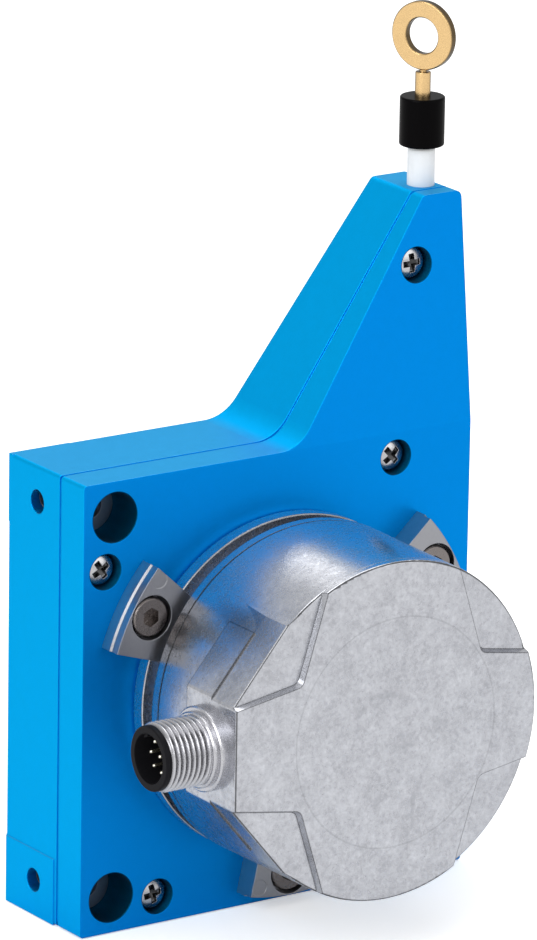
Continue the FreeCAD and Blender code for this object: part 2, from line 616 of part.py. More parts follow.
def make_nozzle():
    nozzle = upright(NOZZLE_RADIUS, NOZZLE_FOOT, NOZZLE_TOP)
    top_edges = [e for e in nozzle.Edges if e.BoundBox.ZMin > NOZZLE_TOP - 0.01]
    nozzle = nozzle.makeFillet(0.5, top_edges)
    nozzle = nozzle.cut(upright(NOZZLE_BORE_RADIUS, NOZZLE_FOOT - 1, NOZZLE_TOP + 1))
    mouth = Part.makeCone(NOZZLE_BORE_RADIUS, NOZZLE_BORE_RADIUS + NOZZLE_MOUTH, NOZZLE_MOUTH,
                          V(WIRE_REACH, WIRE_DEPTH_Y, NOZZLE_TOP - NOZZLE_MOUTH))
    return nozzle.cut(mouth)


def make_wiper():
    foot = NOZZLE_FOOT - WIPER_HEIGHT
    return upright(NOZZLE_RADIUS, foot, NOZZLE_FOOT).cut(upright(WIRE_RADIUS + WIPER_GAP, foot - 1, NOZZLE_FOOT + 1))


def make_stopper():
    stopper = upright(STOPPER_RADIUS, STOPPER_BOTTOM, STOPPER_TOP)
    stopper = stopper.makeFillet(STOPPER_EDGE, [e for e in stopper.Edges if len(e.Vertexes) == 1])
    return stopper.cut(upright(STEM_RADIUS, STOPPER_BOTTOM + STOPPER_FLOOR, STOPPER_TOP + 1)).cut(
        upright(WIRE_RADIUS + WIPER_GAP, STOPPER_BOTTOM - 1, STOPPER_BOTTOM + STOPPER_FLOOR + 1))


def make_eyelet():
    """Brass end: a stem crimped on the wire inside the stopper, and a flat ring."""
    stem = upright(STEM_RADIUS, STOPPER_BOTTOM + STOPPER_FLOOR, EYELET_HEIGHT - EYELET_HOLE_RADIUS - 1.0)
    stem = stem.cut(upright(WIRE_RADIUS, STOPPER_BOTTOM, WIRE_TOP))
    half = EYELET_THICK / 2.0
    centre = V(WIRE_REACH, WIRE_DEPTH_Y - half, EYELET_HEIGHT)
    ring = Part.makeCylinder(EYELET_OUTER_RADIUS, EYELET_THICK, centre, AXIS_Y)
    ring = ring.makeChamfer(EYELET_EDGE, [e for e in ring.Edges if len(e.Vertexes) == 1])
    eyelet = ring.fuse(stem)
    eyelet = eyelet.cut(Part.makeCylinder(EYELET_HOLE_RADIUS, EYELET_THICK * 4,
                                          V(WIRE_REACH, WIRE_DEPTH_Y - EYELET_THICK * 2, EYELET_HEIGHT), AXIS_Y))
    eyelet.rotate(V(WIRE_REACH, WIRE_DEPTH_Y, 0), V(0, 0, 1), EYELET_TURN)
    return eyelet.removeSplitter()


def make_draw_wire():
    return upright(WIRE_RADIUS, AXIS_HEIGHT + WIRE_START_RISE, WIRE_TOP)


def make_wound_wire():
    """The wound turns as one closed layer on the drum."""
    front = WIRE_DEPTH_Y + WIRE_RADIUS + WIRE_LAY_GAP
    return tube(WIRE_REACH + WIRE_RADIUS, DRUM_RADIUS, front, DRUM_BACK - DRUM_FLANGE)


def make_encoder_flange():
    base_front = -BASE_FRONT
    groove_front = -(FLANGE_THICK + GROOVE_WIDTH)
    seat = BASE_RADIUS - CAP_WALL - SPIGOT_GAP
    edge = CASTING_EDGE
    stop = PILOT_LENGTH - BEARING_STOP
    bore = ENCODER_BEARING[1]
    hub = bore + ENCODER_HUB_WALL
    inner = GROOVE_RADIUS - ENCODER_BASE_WALL
    flange = turned([
        (bore, stop), (bore - BEARING_LIP_HEIGHT, stop), (bore - BEARING_LIP_HEIGHT, PILOT_LENGTH), (PILOT_RADIUS, PILOT_LENGTH), (PILOT_RADIUS, 0),
        (FLANGE_RADIUS - 2 * edge, 0), (FLANGE_RADIUS, -2 * edge), (FLANGE_RADIUS, -FLANGE_THICK + edge),
        (FLANGE_RADIUS - edge, -FLANGE_THICK), (GROOVE_RADIUS, -FLANGE_THICK), (GROOVE_RADIUS, groove_front),
        (BASE_RADIUS - edge, groove_front), (BASE_RADIUS, groove_front - edge), (BASE_RADIUS, base_front),
        (seat, base_front), (seat, base_front - SPIGOT_HEIGHT), (inner, base_front - SPIGOT_HEIGHT),
        (inner, -FLANGE_THICK), (hub, -FLANGE_THICK), (hub, base_front), (bore, base_front),
    ])
    for i in range(BOARD_PILLARS):
        pillar = rod(BOARD_PILLAR_RADIUS, -BOARD_FRONT, -FLANGE_THICK + 0.5, BOARD_PILLAR_CIRCLE)
        flange = flange.fuse(around(pillar, 360.0 / BOARD_PILLARS * i))
    return flange.removeSplitter()


def facet_corners(distance, end_angle):
    """Boss corner and far end of the upper facet at a distance from the axis, relative to the axis."""
    turn = math.radians(FACET_ANGLE)
    corner_z = (distance + BOSS_REACH * math.cos(turn)) / math.sin(turn)
    far = math.radians(end_angle)
    reach = distance / math.cos(far - turn)
    return (-BOSS_REACH, corner_z), (reach * math.cos(far), reach * math.sin(far))


def cap_radius(depth):
    """Outer radius of the drafted cap side at a depth in front of the plate."""
    slope = (BASE_RADIUS - CAP_FRONT_RADIUS) / (ENCODER_LENGTH - BASE_FRONT)
    return BASE_RADIUS - slope * (depth - BASE_FRONT)


def cap_blank(front, rim_round, inset=0.0):
    """Drafted cap body with a rounded rim, solid, out to a front depth, drawn in by an inset."""
    back_y = -(BASE_FRONT + CAP_SEAM)
    base_radius = BASE_RADIUS - inset
    front_radius = cap_radius(front) - inset
    rim_y = -(front - rim_round)
    z = AXIS_HEIGHT
    arc = Part.Arc(V(front_radius, rim_y, z), V(front_radius - rim_round * (1 - math.sqrt(0.5)),
                   rim_y - rim_round * math.sqrt(0.5), z), V(front_radius - rim_round, -front, z)).toShape()
    lines = [(V(0, back_y, z), V(base_radius, back_y, z)), (V(base_radius, back_y, z), V(front_radius, rim_y, z)),
             (V(front_radius - rim_round, -front, z), V(0, -front, z)), (V(0, -front, z), V(0, back_y, z))]
    edges = [arc] + [Part.LineSegment(a, b).toShape() for a, b in lines]
    return Part.Face(Part.Wire(Part.__sortEdges__(edges))).revolve(AXIS_POINT, AXIS_Y, 360)


def polar(reach, angle):
    """X and Z offsets from the encoder axis at a distance and an angle in degrees."""
    return reach * math.cos(math.radians(angle)), reach * math.sin(math.radians(angle))


def both_sides(half):
    """Outline corners (dx, dz, radius) from the encoder axis, closed by their mirror image below the axis."""
    upper = [(x, AXIS_HEIGHT + z, r) for x, z, r in half]
    lower = [(x, AXIS_HEIGHT - z, r) for x, z, r in half[::-1]]
    return upper + lower


def step_corners():
    """Far end of the level facet, and a point inside the cap on the slope that runs down from it."""
    far = facet_corners(FACET_DISTANCE, FACET_END_ANGLE)[1]
    foot = polar(cap_radius(ENCODER_LENGTH), FACET_STEP_ANGLE)
    return far, (2 * foot[0] - far[0], 2 * foot[1] - far[1])


def boss_blank(front):
    """Connector boss with its two slanted facets: wide at the front, only beside the boss behind that."""
    corner, hidden = facet_corners(FACET_DISTANCE, BOSS_SIDE_ANGLE)
    far, beyond = step_corners()
    wide = prism(both_sides([(corner[0], corner[1], BOSS_CORNER_ROUND), (far[0], far[1], 0.0),
                             (beyond[0], beyond[1], 0.0), (beyond[0] * FACET_INNER, beyond[1] * FACET_INNER, 0.0)]),
                 -front, -FACET_STRIP_REAR)
    edges = [e for e in wide.Edges if e.BoundBox.YMax < -front + 0.01 and e.BoundBox.XMax < far[0] + 0.01]
    narrow = prism(both_sides([(corner[0], corner[1], BOSS_CORNER_ROUND), (hidden[0], hidden[1], 0.0),
                               (hidden[0] * FACET_INNER, hidden[1] * FACET_INNER, 0.0)]),
                   -FACET_STRIP_REAR, -BOSS_REAR)
    return wide.makeFillet(BOSS_EDGE, edges).fuse(narrow)


def facet_ramp():
    """Upper facet behind its level strip, where it sinks away into the drafted side."""
    near, start = facet_corners(FACET_DISTANCE, BOSS_SIDE_ANGLE)
    far, beyond = step_corners()
    z = AXIS_HEIGHT
    ramp = prism([(start[0], z + start[1], 0.0), (far[0], z + far[1], 0.0), (beyond[0], z + beyond[1], 0.0),
                  (beyond[0] * FACET_INNER, z + beyond[1] * FACET_INNER, 0.0),
                  (start[0] * FACET_INNER, z + start[1] * FACET_INNER, 0.0)], -FACET_STRIP_REAR, -FACET_REAR)
    sunk_x, sunk_z = polar(cap_radius(FACET_FADE), FACET_STEP_ANGLE)
    level = V(far[0], -FACET_STRIP_REAR, z + far[1])
    along = V(far[0] - near[0], 0, far[1] - near[1]).normalize()
    sinking = V(sunk_x, -FACET_FADE, z + sunk_z) - level
    sinking = (sinking - along * sinking.dot(along)).normalize()
    up = along.cross(sinking)
    if up.dot(V(far[0], 0, far[1])) < 0:
        up = up * -1.0
    across = along * BASE_RADIUS
    length = sinking * BASE_RADIUS
    corners = [level - across - length, level + across - length, level + across + length, level - across + length]
    return ramp.cut(Part.Face(Part.makePolygon(corners + [corners[0]])).extrude(up * BASE_RADIUS))


def mirrored(shape):
    """The same shape below the encoder axis."""
    return shape.mirror(AXIS_POINT, V(0, 0, 1))


def plateau_tool(front):
    """Cross-shaped raised front face: the area left between the four corner recesses, with drafted walls."""
    def cross_wire(y, grow):
        cx, cz = RECESS_CORNER
        tx, tz = TOP_ARM_END
        far = 45.0
        side_z = SIDE_ARM_END
        slope_side = (cz - side_z) / (BOSS_REACH - cx)
        slope_top = (cx - tx) / (tz - cz)
        end_side = cz - slope_side * (far - cx)
        end_top = cx - slope_top * (far - cz)
        quarter = [(far, end_side + grow, 0.0), (cx + grow, cz + grow, RECESS_ROUND), (end_top + grow, far, 0.0)]
        points = []
        for sx, sz, backwards in ((1, 1, False), (-1, 1, True), (-1, -1, False), (1, -1, True)):
            run = quarter[::-1] if backwards else quarter
            points += [(sx * x, AXIS_HEIGHT + sz * z, r) for x, z, r in run]
        return rounded_wire(points, y)

    back = -(front - RECESS_DEPTH - 2.0)
    ratio = (RECESS_DEPTH + 2.0) / RECESS_DEPTH
    wires = [cross_wire(-front - 0.0, 0.0), cross_wire(back, RECESS_DRAFT * ratio)]
    return Part.makeLoft(wires, True, True)


def label_pad():
    """Shallow rectangular pad on the upper facet beside the boss."""
    corner, far = facet_corners(FACET_DISTANCE, LABEL_PAD_END_ANGLE)
    corner_out, far_out = facet_corners(FACET_DISTANCE + LABEL_PAD_RISE, LABEL_PAD_END_ANGLE)
    z = AXIS_HEIGHT
    points = [(corner[0], z + corner[1] - BOSS_CORNER_ROUND, 0.0), (far[0] * FACET_INNER, z + far[1] * FACET_INNER, 0.0),
              (far_out[0], z + far_out[1], 0.0), (corner_out[0], z + corner_out[1], BOSS_CORNER_ROUND)]
    return prism(points, -(BOSS_REAR + LABEL_PAD_WIDTH), -BOSS_REAR)


def cap_outside(front, inset):
    """Solid cap with boss and facets out to a front depth."""
    ramp = facet_ramp()
    return cap_blank(front, RIM_ROUND, inset).fuse([boss_blank(front), ramp, mirrored(ramp)])


def make_encoder_cap():
    cap = cap_outside(ENCODER_LENGTH - RECESS_DEPTH, 0.0)
    cap = cap.fuse(cap_outside(ENCODER_LENGTH, PLATEAU_INSET).common(plateau_tool(ENCODER_LENGTH)))
    pad = label_pad()
    cap = cap.fuse([pad, mirrored(pad)])
    cavity = turned([(0, -BASE_FRONT + 1), (BASE_RADIUS - CAP_WALL, -BASE_FRONT + 1),
                     (CAP_FRONT_RADIUS - CAP_WALL, -(ENCODER_LENGTH - CAP_FRONT_WALL)),
                     (0, -(ENCODER_LENGTH - CAP_FRONT_WALL))])
    cap = cap.cut(cavity)
    cap = cap.cut(connector_rod(SHELL_TAIL_RADIUS, CONNECTOR_INSERT_ROOT - CAP_WALL - OUTSIDE, BOSS_REACH + 1))
    return cap.removeSplitter()


def connector_rod(radius, reach0, reach1, dy=0.0, dz=0.0):
    """Cylinder along the connector axis between two distances left of the encoder axis."""
    return Part.makeCylinder(radius, reach1 - reach0, V(-reach0, -CONNECTOR_DEPTH_Y + dy, AXIS_HEIGHT + dz),
                             V(-1, 0, 0))


def make_connector_shell():
    shell = connector_rod(COLLAR_RADIUS, BOSS_REACH, COLLAR_END)
    shell = shell.fuse(connector_rod(NECK_RING_RADIUS, COLLAR_END - 0.5, NECK_RING_END))
    thread = connector_rod(THREAD_RADIUS, COLLAR_END - 0.5, THREAD_END)
    end = [e for e in thread.Edges if e.BoundBox.XMax < -THREAD_END + 0.01]
    shell = shell.fuse(thread.makeChamfer(THREAD_CHAMFER, end))
    shell = shell.fuse(connector_rod(SHELL_TAIL_RADIUS, CONNECTOR_INSERT_ROOT, BOSS_REACH + 0.5))
    return shell.cut(connector_rod(CONNECTOR_BORE, CONNECTOR_INSERT_ROOT - 1, THREAD_END + 1)).removeSplitter()


def make_connector_insert():
    insert = connector_rod(CONNECTOR_BORE, CONNECTOR_INSERT_ROOT, THREAD_END + 0.2)
    ring = connector_rod(INSERT_RING_RADIUS, THREAD_END, INSERT_RING_END)
    outer = [e for e in ring.Edges if e.BoundBox.XMax < -INSERT_RING_END + 0.01]
    insert = insert.fuse(ring.makeFillet(0.3, outer))
    cup = connector_rod(CUP_RADIUS, INSERT_RING_END - CUP_DEPTH, INSERT_RING_END + 1)
    key_angle = math.radians(PIN_START + 180.0 / PIN_COUNT)
    key = block(-INSERT_RING_END + 0.6, -INSERT_RING_END + CUP_DEPTH + 0.5, -KEY_WIDTH / 2.0, KEY_WIDTH / 2.0,
                CUP_RADIUS - KEY_RISE, CUP_RADIUS + 0.5)
    key.rotate(V(0, 0, 0), V(-1, 0, 0), math.degrees(key_angle))
    key.translate(V(0, -CONNECTOR_DEPTH_Y, AXIS_HEIGHT))
    insert = insert.cut(cup).fuse(key)
    for dy, dz in pin_places():
        insert = insert.cut(connector_rod(PIN_RADIUS, CONNECTOR_INSERT_ROOT - 1, INSERT_RING_END, dy, dz))
    return insert.removeSplitter()


def pin_places():
    """Pins of the connector: one in the middle and a ring of them."""
    places = [(0.0, 0.0)]
    for i in range(PIN_COUNT):
        angle = math.radians(PIN_START + 360.0 / PIN_COUNT * i)
        places.append((PIN_CIRCLE * math.cos(angle), PIN_CIRCLE * math.sin(angle)))
    return places


def make_pin(dy, dz):
    return connector_rod(PIN_RADIUS, PIN_ROOT, INSERT_RING_END - PIN_SINK, dy, dz)


def make_connector_board():
    """Small upright board that joins the pins to the circuit board."""
    board = block(-PIN_ROOT, -PIN_ROOT + PIN_BOARD_THICK, -CONNECTOR_DEPTH_Y - PIN_BOARD_REACH,
                  -BOARD_FRONT - BOARD_THICK, AXIS_HEIGHT - PIN_BOARD_HALF, AXIS_HEIGHT + PIN_BOARD_HALF)
    return board


def make_clamp():
    """Servo clamp: an L section turned through a short arc, with a counterbored screw hole."""
    inner_foot = FLANGE_RADIUS + CLAMP_PLAY
    lip = -(FLANGE_THICK + CLAMP_SEAT_GAP)
    clamp = turned([(inner_foot, 0), (CLAMP_OUTER, 0), (CLAMP_OUTER, -CLAMP_STEP_HEIGHT),
                    (CLAMP_OUTER - CLAMP_STEP, -CLAMP_STEP_HEIGHT - CLAMP_STEP),
                    (CLAMP_OUTER - CLAMP_STEP, -CLAMP_HEIGHT), (CLAMP_INNER, -CLAMP_HEIGHT),
                    (CLAMP_INNER, lip), (inner_foot, lip)], 2 * CLAMP_HALF_ANGLE)
    clamp = around(clamp, CLAMP_HALF_ANGLE)
    clamp = clamp.cut(rod(CLAMP_COUNTERBORE, -CLAMP_HEIGHT - 1, -CLAMP_HEIGHT + CLAMP_COUNTERBORE_DEPTH,
                          CLAMP_SCREW_CIRCLE))
    clamp = clamp.cut(rod(CLAMP_SCREW_SHANK + CLAMP_HOLE_CLEARANCE, -CLAMP_HEIGHT, 1, CLAMP_SCREW_CIRCLE))
    mark = rod(EJECTOR_MARK_RADIUS, -CLAMP_HEIGHT - 1, -CLAMP_HEIGHT + EJECTOR_MARK_DEPTH,
               CLAMP_OUTER - EJECTOR_MARK_INSET)
    clamp = clamp.cut(around(mark, EJECTOR_MARK_ANGLE))
    return clamp


def make_clamp_screw():
    seat = -(CLAMP_HEIGHT - CLAMP_COUNTERBORE_DEPTH)
    top = seat - CLAMP_SCREW_HEAD_HEIGHT
    head = rod(CLAMP_SCREW_HEAD, top, seat, CLAMP_SCREW_CIRCLE)
    head = head.makeChamfer(0.3, [e for e in head.Edges if e.BoundBox.YMax < top + 0.01])
    screw = head.fuse(rod(CLAMP_SCREW_SHANK, seat - 0.5, seat + CLAMP_SCREW_LENGTH, CLAMP_SCREW_CIRCLE))
    corner = HEX_ACROSS / math.sqrt(3.0)
    points = [V(CLAMP_SCREW_CIRCLE + corner * math.cos(math.radians(60 * i)), top - 1,
                AXIS_HEIGHT + corner * math.sin(math.radians(60 * i))) for i in range(6)]
    socket = Part.Face(Part.makePolygon(points + [points[0]])).extrude(V(0, HEX_DEPTH + 1, 0))
    return screw.cut(socket)


def make_seal():
    ring = Part.makeTorus(SEAL_RING_RADIUS, SEAL_RADIUS, V(0, -BASE_FRONT - SPIGOT_HEIGHT - SEAL_RADIUS, AXIS_HEIGHT), AXIS_Y)
    return ring


def make_code_disc():
    y = -(BASE_FRONT + DISC_HUB_GAP)
    hub = tube(DISC_HUB_RADIUS, ENCODER_SHAFT_RADIUS, y - DISC_HUB_LENGTH, y)
    disc = tube(DISC_RADIUS, ENCODER_SHAFT_RADIUS, y - DISC_HUB_LENGTH - DISC_THICK, y - DISC_HUB_LENGTH)
    return hub, disc


def make_circuit_board():
    board = rod(BOARD_RADIUS, -BOARD_FRONT - BOARD_THICK, -BOARD_FRONT)
    width, height, length = READER_SIZE
    reader = block(-width / 2, width / 2, -BOARD_FRONT, -BOARD_FRONT + height,
                   AXIS_HEIGHT + READER_RISE, AXIS_HEIGHT + READER_RISE + length)
    return board.fuse(reader)


def build():
    """All pieces of the product by node name."""
    parts = {
        "rear_housing": make_rear_housing(),
        "front_plate": make_front_plate(),
        "wire_nozzle": make_nozzle(),
        "wire_wiper": make_wiper(),
        "cable_drum": make_drum(),
        "drum_axle": make_axle(),
        "spiral_spring": make_spring(),
        "wound_wire": make_wound_wire(),
        "draw_wire": make_draw_wire(),
        "wire_stopper": make_stopper(),
        "end_eyelet": make_eyelet(),
        "encoder_flange": make_encoder_flange(),
        "encoder_cap": make_encoder_cap(),
        "encoder_shaft": make_encoder_shaft(),
        "encoder_seal": make_seal(),
        "circuit_board": make_circuit_board(),
        "connector_board": make_connector_board(),
        "connector_shell": make_connector_shell(),
        "connector_insert": make_connector_insert(),
    }
    for name, place in zip(("upper", "lower"), insert_places()):
        parts["mounting_insert_" + name] = make_mounting_insert(*place)
    for i, place in enumerate(housing_screw_places(), 1):
        parts["housing_screw_%d" % i] = make_housing_screw(*place)
    parts["drum_bearing_front_outer"], parts["drum_bearing_front_inner"] = make_bearing(
        FRONT_BEARING, FRONT_BEARING_Y)
    parts["drum_bearing_rear_outer"], parts["drum_bearing_rear_inner"] = make_bearing(REAR_BEARING, REAR_BEARING_Y)
    step = ENCODER_BEARING[2] + ENCODER_BEARING_GAP
    back = PILOT_LENGTH - BEARING_STOP - ENCODER_BEARING[2]
    for i in range(2):
        outer, inner = make_bearing(ENCODER_BEARING, back - step * i)
        parts["encoder_bearing_%d_outer" % (i + 1)] = outer
        parts["encoder_bearing_%d_inner" % (i + 1)] = inner
    parts["code_disc_hub"], parts["code_disc"] = make_code_disc()
    for i, place in enumerate(pin_places(), 1):
        parts["connector_pin_%d" % i] = make_pin(*place)
    for i, angle in enumerate(clamp_angles(), 1):
        parts["servo_clamp_%d" % i] = around(make_clamp(), angle)
        parts["clamp_screw_%d" % i] = around(make_clamp_screw(), angle)
    return parts


def main():
    os.makedirs("parts", exist_ok=True)
    for name, shape in build().items():
        if not shape.isValid():
            raise ValueError(name + " is not a valid solid")
        shape.translate(ORIGIN * -1)
        shape.exportStep(os.path.join("parts", name + ".step"))
        box = shape.BoundBox
        print("%-26s solids %d volume %9.2f  x %.2f..%.2f y %.2f..%.2f z %.2f..%.2f" % (
            name, len(shape.Solids), shape.Volume, box.XMin, box.XMax, box.YMin, box.YMax, box.ZMin, box.ZMax))


main()
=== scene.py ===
import math

import bpy
import numpy as np
from bpy.props import FloatProperty, FloatVectorProperty, IntProperty, PointerProperty
from mathutils import Matrix, Vector


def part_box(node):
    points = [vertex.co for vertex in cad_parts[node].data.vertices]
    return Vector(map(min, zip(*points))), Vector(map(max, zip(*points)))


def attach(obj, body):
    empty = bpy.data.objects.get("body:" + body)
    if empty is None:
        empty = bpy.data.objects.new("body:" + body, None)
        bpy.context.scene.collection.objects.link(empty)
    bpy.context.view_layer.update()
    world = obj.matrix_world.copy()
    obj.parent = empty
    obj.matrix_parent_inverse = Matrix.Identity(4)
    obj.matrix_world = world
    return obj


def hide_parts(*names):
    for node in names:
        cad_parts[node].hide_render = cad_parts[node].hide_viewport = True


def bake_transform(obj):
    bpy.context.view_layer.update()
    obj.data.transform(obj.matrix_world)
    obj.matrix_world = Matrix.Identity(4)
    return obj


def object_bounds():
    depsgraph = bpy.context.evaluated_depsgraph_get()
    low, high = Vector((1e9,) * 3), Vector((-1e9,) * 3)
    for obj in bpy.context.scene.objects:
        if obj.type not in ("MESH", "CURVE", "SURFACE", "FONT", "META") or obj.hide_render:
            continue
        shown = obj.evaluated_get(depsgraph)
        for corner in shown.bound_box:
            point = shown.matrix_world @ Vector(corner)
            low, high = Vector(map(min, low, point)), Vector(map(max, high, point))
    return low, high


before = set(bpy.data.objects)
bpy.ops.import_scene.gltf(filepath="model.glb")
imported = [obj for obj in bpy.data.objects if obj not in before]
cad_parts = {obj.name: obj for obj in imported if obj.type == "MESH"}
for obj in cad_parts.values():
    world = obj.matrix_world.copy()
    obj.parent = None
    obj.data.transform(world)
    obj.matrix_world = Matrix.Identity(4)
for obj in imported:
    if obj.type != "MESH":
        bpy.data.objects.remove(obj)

CAD_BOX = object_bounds()

bl_info = {
    "name": "Draw wire encoder",
    "version": (1, 0, 0),
    "blender": (4, 5, 0),
    "location": "View3D > Sidebar > Draw wire encoder",
    "description": "Dresses the solids of a draw wire encoder and sets up its stage",
    "category": "Object",
}

MM = 0.001

# Places that follow from the solids, in metres
ENCODER_AXIS_X = sum(p[0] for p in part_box("encoder_flange")) / 2
ENCODER_AXIS_Z = sum(p[2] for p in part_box("encoder_flange")) / 2
CONNECTOR_Y = sum(p[1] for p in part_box("connector_shell")) / 2
WIRE_X = sum(p[0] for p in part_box("draw_wire")) / 2
WIRE_Y = sum(p[1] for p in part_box("draw_wire")) / 2
FLOOR_Z = CAD_BOX[0][2]

# Camera, as fitted to the photograph's corners and circles
CAMERA_PLACE = Vector((-686.18, -1077.79, 412.24)) * MM
CAMERA_AZIMUTH = math.radians(-34.233)
CAMERA_ELEVATION = math.radians(16.387)
CAMERA_ROLL = math.radians(0.957)
CAMERA_LENS = 300.4
CAMERA_SHIFT = (0.00132, -0.00112)

# Finishes
GRAIN_BUMP = 0.00002       # height of the grain's bump
GRAIN_STRENGTH = 0.3
FINE_EDGE = 0.0001         # radius at which the edges of small pieces look rounded
COARSE_GRAIN = 0.12        # the grain's slow noise against its fine one
CLOUD_SIZE = 0.16          # the casting's slow noise against its flecks
FLOOR_LIFT = 0.45          # light that the floor adds to the picture, so that it shows white

# Bores of the front, by their radius
MOUNT_BORE = 4.5 * MM
SCREW_BORE = 3.2 * MM

# Faint circle on the cover's face, and the rounded rim by the part of its normal along the axis
WITNESS_RADIUS = 20.2 * MM
WITNESS_OFFSET = (0.9 * MM, -0.3 * MM)
WITNESS_EDGE = (0.0002, 0.00008)
RIM_NORMAL = -0.7
RIM_SPREAD = (0.27, 0.17)

# Connector shell
THREAD_CREST = 6.0 * MM
SHELL_SEAT = 31.4 * MM     # from the encoder's axis to the boss
COLLAR_LENGTH = 1.6 * MM
NECK_LENGTH = 2.5 * MM
NECK_RADIUS = 6.5 * MM
TAIL_RADIUS = 5.5 * MM
SHELL_BORE = 4.95 * MM
SHELL_CHAMFER = 0.25 * MM
THREAD_FLOOR = 5.8 * MM    # the thread is cut where the shell's radius is more than this

# Cross-recess screws
SCREW_TURNS = [math.radians(a) for a in (12, -8, 20, 5, -15)]
HEAD_DOME = 0.65 * MM
HEAD_ROUND = 0.35 * MM
HEAD_HEIGHT = 2.1 * MM
SHANK_RADIUS = 1.5 * MM
SHANK_LENGTH = 11.0 * MM
TIP_RADIUS = 0.9 * MM
RECESS_EDGE = 0.09 * MM

# Ring and stem
RING_TURN = math.radians(-66.0)
RING_OUTER = 6.0 * MM
RING_HOLE = 3.15 * MM
RING_HALF = 0.8 * MM
RING_CHAMFER = 0.2 * MM
STEM_RADIUS = 1.35 * MM
WAIST_RADIUS = 0.6 * MM
STRAND_GROOVE = 0.22       # depth of the groove between the wire's strands, against its radius

# Stage
FLOOR_WIDTH = 12.0
LIGHT_TARGET = (0.035, -0.02, 0.0)
LAMPS = (                  # name, place, size, power
    ("front_right", (0.5, -1.5, 0.7), (1.5, 1.2), 6.0),
    ("overhead", (0.1, 0.2, 1.3), (1.2, 0.8), 9.0),
    ("back_high", (0.36, 1.2, 0.85), (0.35, 0.22), 0.5),
)


def screen_colour(red, green, blue):
    """Linear colour from screen values of 0 to 255: ((v + 0.055) / 1.055) to the power 2.4, or v / 12.92 near
    black."""
    values = []
    for part in (red, green, blue):
        v = part / 255
        values.append(v / 12.92 if v <= 0.04045 else ((v + 0.055) / 1.055) ** 2.4)
    return tuple(values)


# Settings that a user would change

def colour_setting(name, description, default):
    """Colour of the panel."""
    return FloatVectorProperty(name=name, description=description, subtype="COLOR", size=3, min=0, max=1,
                               default=default)


def length_setting(name, description, default):
    """Length of the panel, in metres."""
    return FloatProperty(name=name, description=description, subtype="DISTANCE", unit="LENGTH", default=default)


class HousingFinish(bpy.types.PropertyGroup):
    """Blue anodised housing."""
    colour: colour_setting("Blue", "Anodised colour seen straight on", (0.001, 0.27, 0.78))
    # The slant and grazing blues are a painted sheen: they lighten the anodised blue on faces seen at a slant,
    # in place of their reflection.
    slant_sheen_colour: colour_setting("Slant blue", "Anodised colour of faces that turn away", (0.002, 0.44, 0.88))
    grazing_sheen_colour: colour_setting(
        "Grazing blue", "Anodised colour of faces seen almost along themselves", (0.10, 0.46, 0.84))
    bore_shade: FloatProperty(
        name="Bore shade", description="How much of its brightness the blue keeps inside the bores",
        default=0.3)
    grain: length_setting("Grain", "Size of the blasted grain", 0.00022)
    edge: length_setting("Edge", "Radius of the broken edges", 0.00035)


class CastFinish(bpy.types.PropertyGroup):
    """Tumbled die-cast cover and flange."""
    light: colour_setting("Light", "Lighter flecks of the casting", screen_colour(224, 226, 232))
    dark: colour_setting("Dark", "Darker flecks of the casting", screen_colour(140, 141, 147))
    fleck: length_setting("Fleck", "Size of the flecks", 0.0008)
    grain: length_setting("Grain", "Size of the fine grain", 0.0003)
    edge_shade: FloatProperty(
        name="Edge shade", description="How much of its brightness the casting keeps along its edges",
        default=0.25)


class WireEndFinish(bpy.types.PropertyGroup):
    """Brass ring, rubber stop and plastic nozzle."""
    brass: colour_setting("Brass", "Colour of the brass ring", screen_colour(232, 196, 140))
    rubber: colour_setting("Rubber", "Colour of the rubber stop", screen_colour(4, 3, 4))
    nozzle: colour_setting("Nozzle", "Colour of the plastic nozzle", screen_colour(238, 240, 240))


class ConnectorSizes(bpy.types.PropertyGroup):
    """Thread of the connector."""
    pitch: length_setting("Pitch", "Pitch of the connector's thread", 0.001)
    depth: length_setting("Depth", "Depth of the thread", 0.00058)


class ScrewSizes(bpy.types.PropertyGroup):
    """Cross recess of the housing screws."""
    arm_width: length_setting("Arm width", "Width of one recess arm", 0.00095)
    arm_span: length_setting("Arm span", "Tip to tip of the recess", 0.0033)
    depth: length_setting("Depth", "Depth of the recess", 0.0013)
    turn: FloatProperty(
        name="Turn", description="How far the recess is turned", subtype="ANGLE", unit="ROTATION",
        default=math.radians(20))


class WireSizes(bpy.types.PropertyGroup):
    """Stranded wire."""
    strands: IntProperty(name="Strands", description="Outer strands of the wire", default=6, min=3, max=12)
    lay: length_setting("Lay", "Length of one turn of the strands", 0.0042)


class StageSettings(bpy.types.PropertyGroup):
    """Floor and studio light."""
    floor: colour_setting("Floor", "Colour of the floor", (0.9, 0.9, 0.9))
    key_power: FloatProperty(
        name="Key light", description="Power of the large left softbox", unit="POWER", default=9.5)
    world_strength: FloatProperty(name="Room light", description="Strength of the even room light", default=0.5)
    mirror_strength: FloatProperty(
        name="Mirrored room", description="Strength of the room as shiny surfaces show it", default=0.72)


# Mesh and node helpers

def add_mesh(name, points, faces, material, body=None, smooth_angle=30.0):
    """Mesh object from an (n, 3) array and a list of faces, turned outwards by the sign of its volume. It
    rides on a body, if one is given."""
    mesh = bpy.data.meshes.new(name)
    mesh.from_pydata(points.tolist(), [], faces)
    mesh.calc_loop_triangles()
    corners = np.empty(len(mesh.loop_triangles) * 3, np.int32)
    mesh.loop_triangles.foreach_get("vertices", corners)
    a, b, c = points[corners.reshape(-1, 3)].transpose(1, 0, 2)
    if np.einsum("ij,ij->", a, np.cross(b, c)) < 0:
        mesh.flip_normals()
    mesh.shade_smooth()
    mesh.set_sharp_from_angle(angle=math.radians(smooth_angle))
    mesh.materials.append(material)
    piece = bpy.data.objects.new(name, mesh)
    bpy.context.scene.collection.objects.link(piece)
    if body:
        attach(piece, body)
    return piece


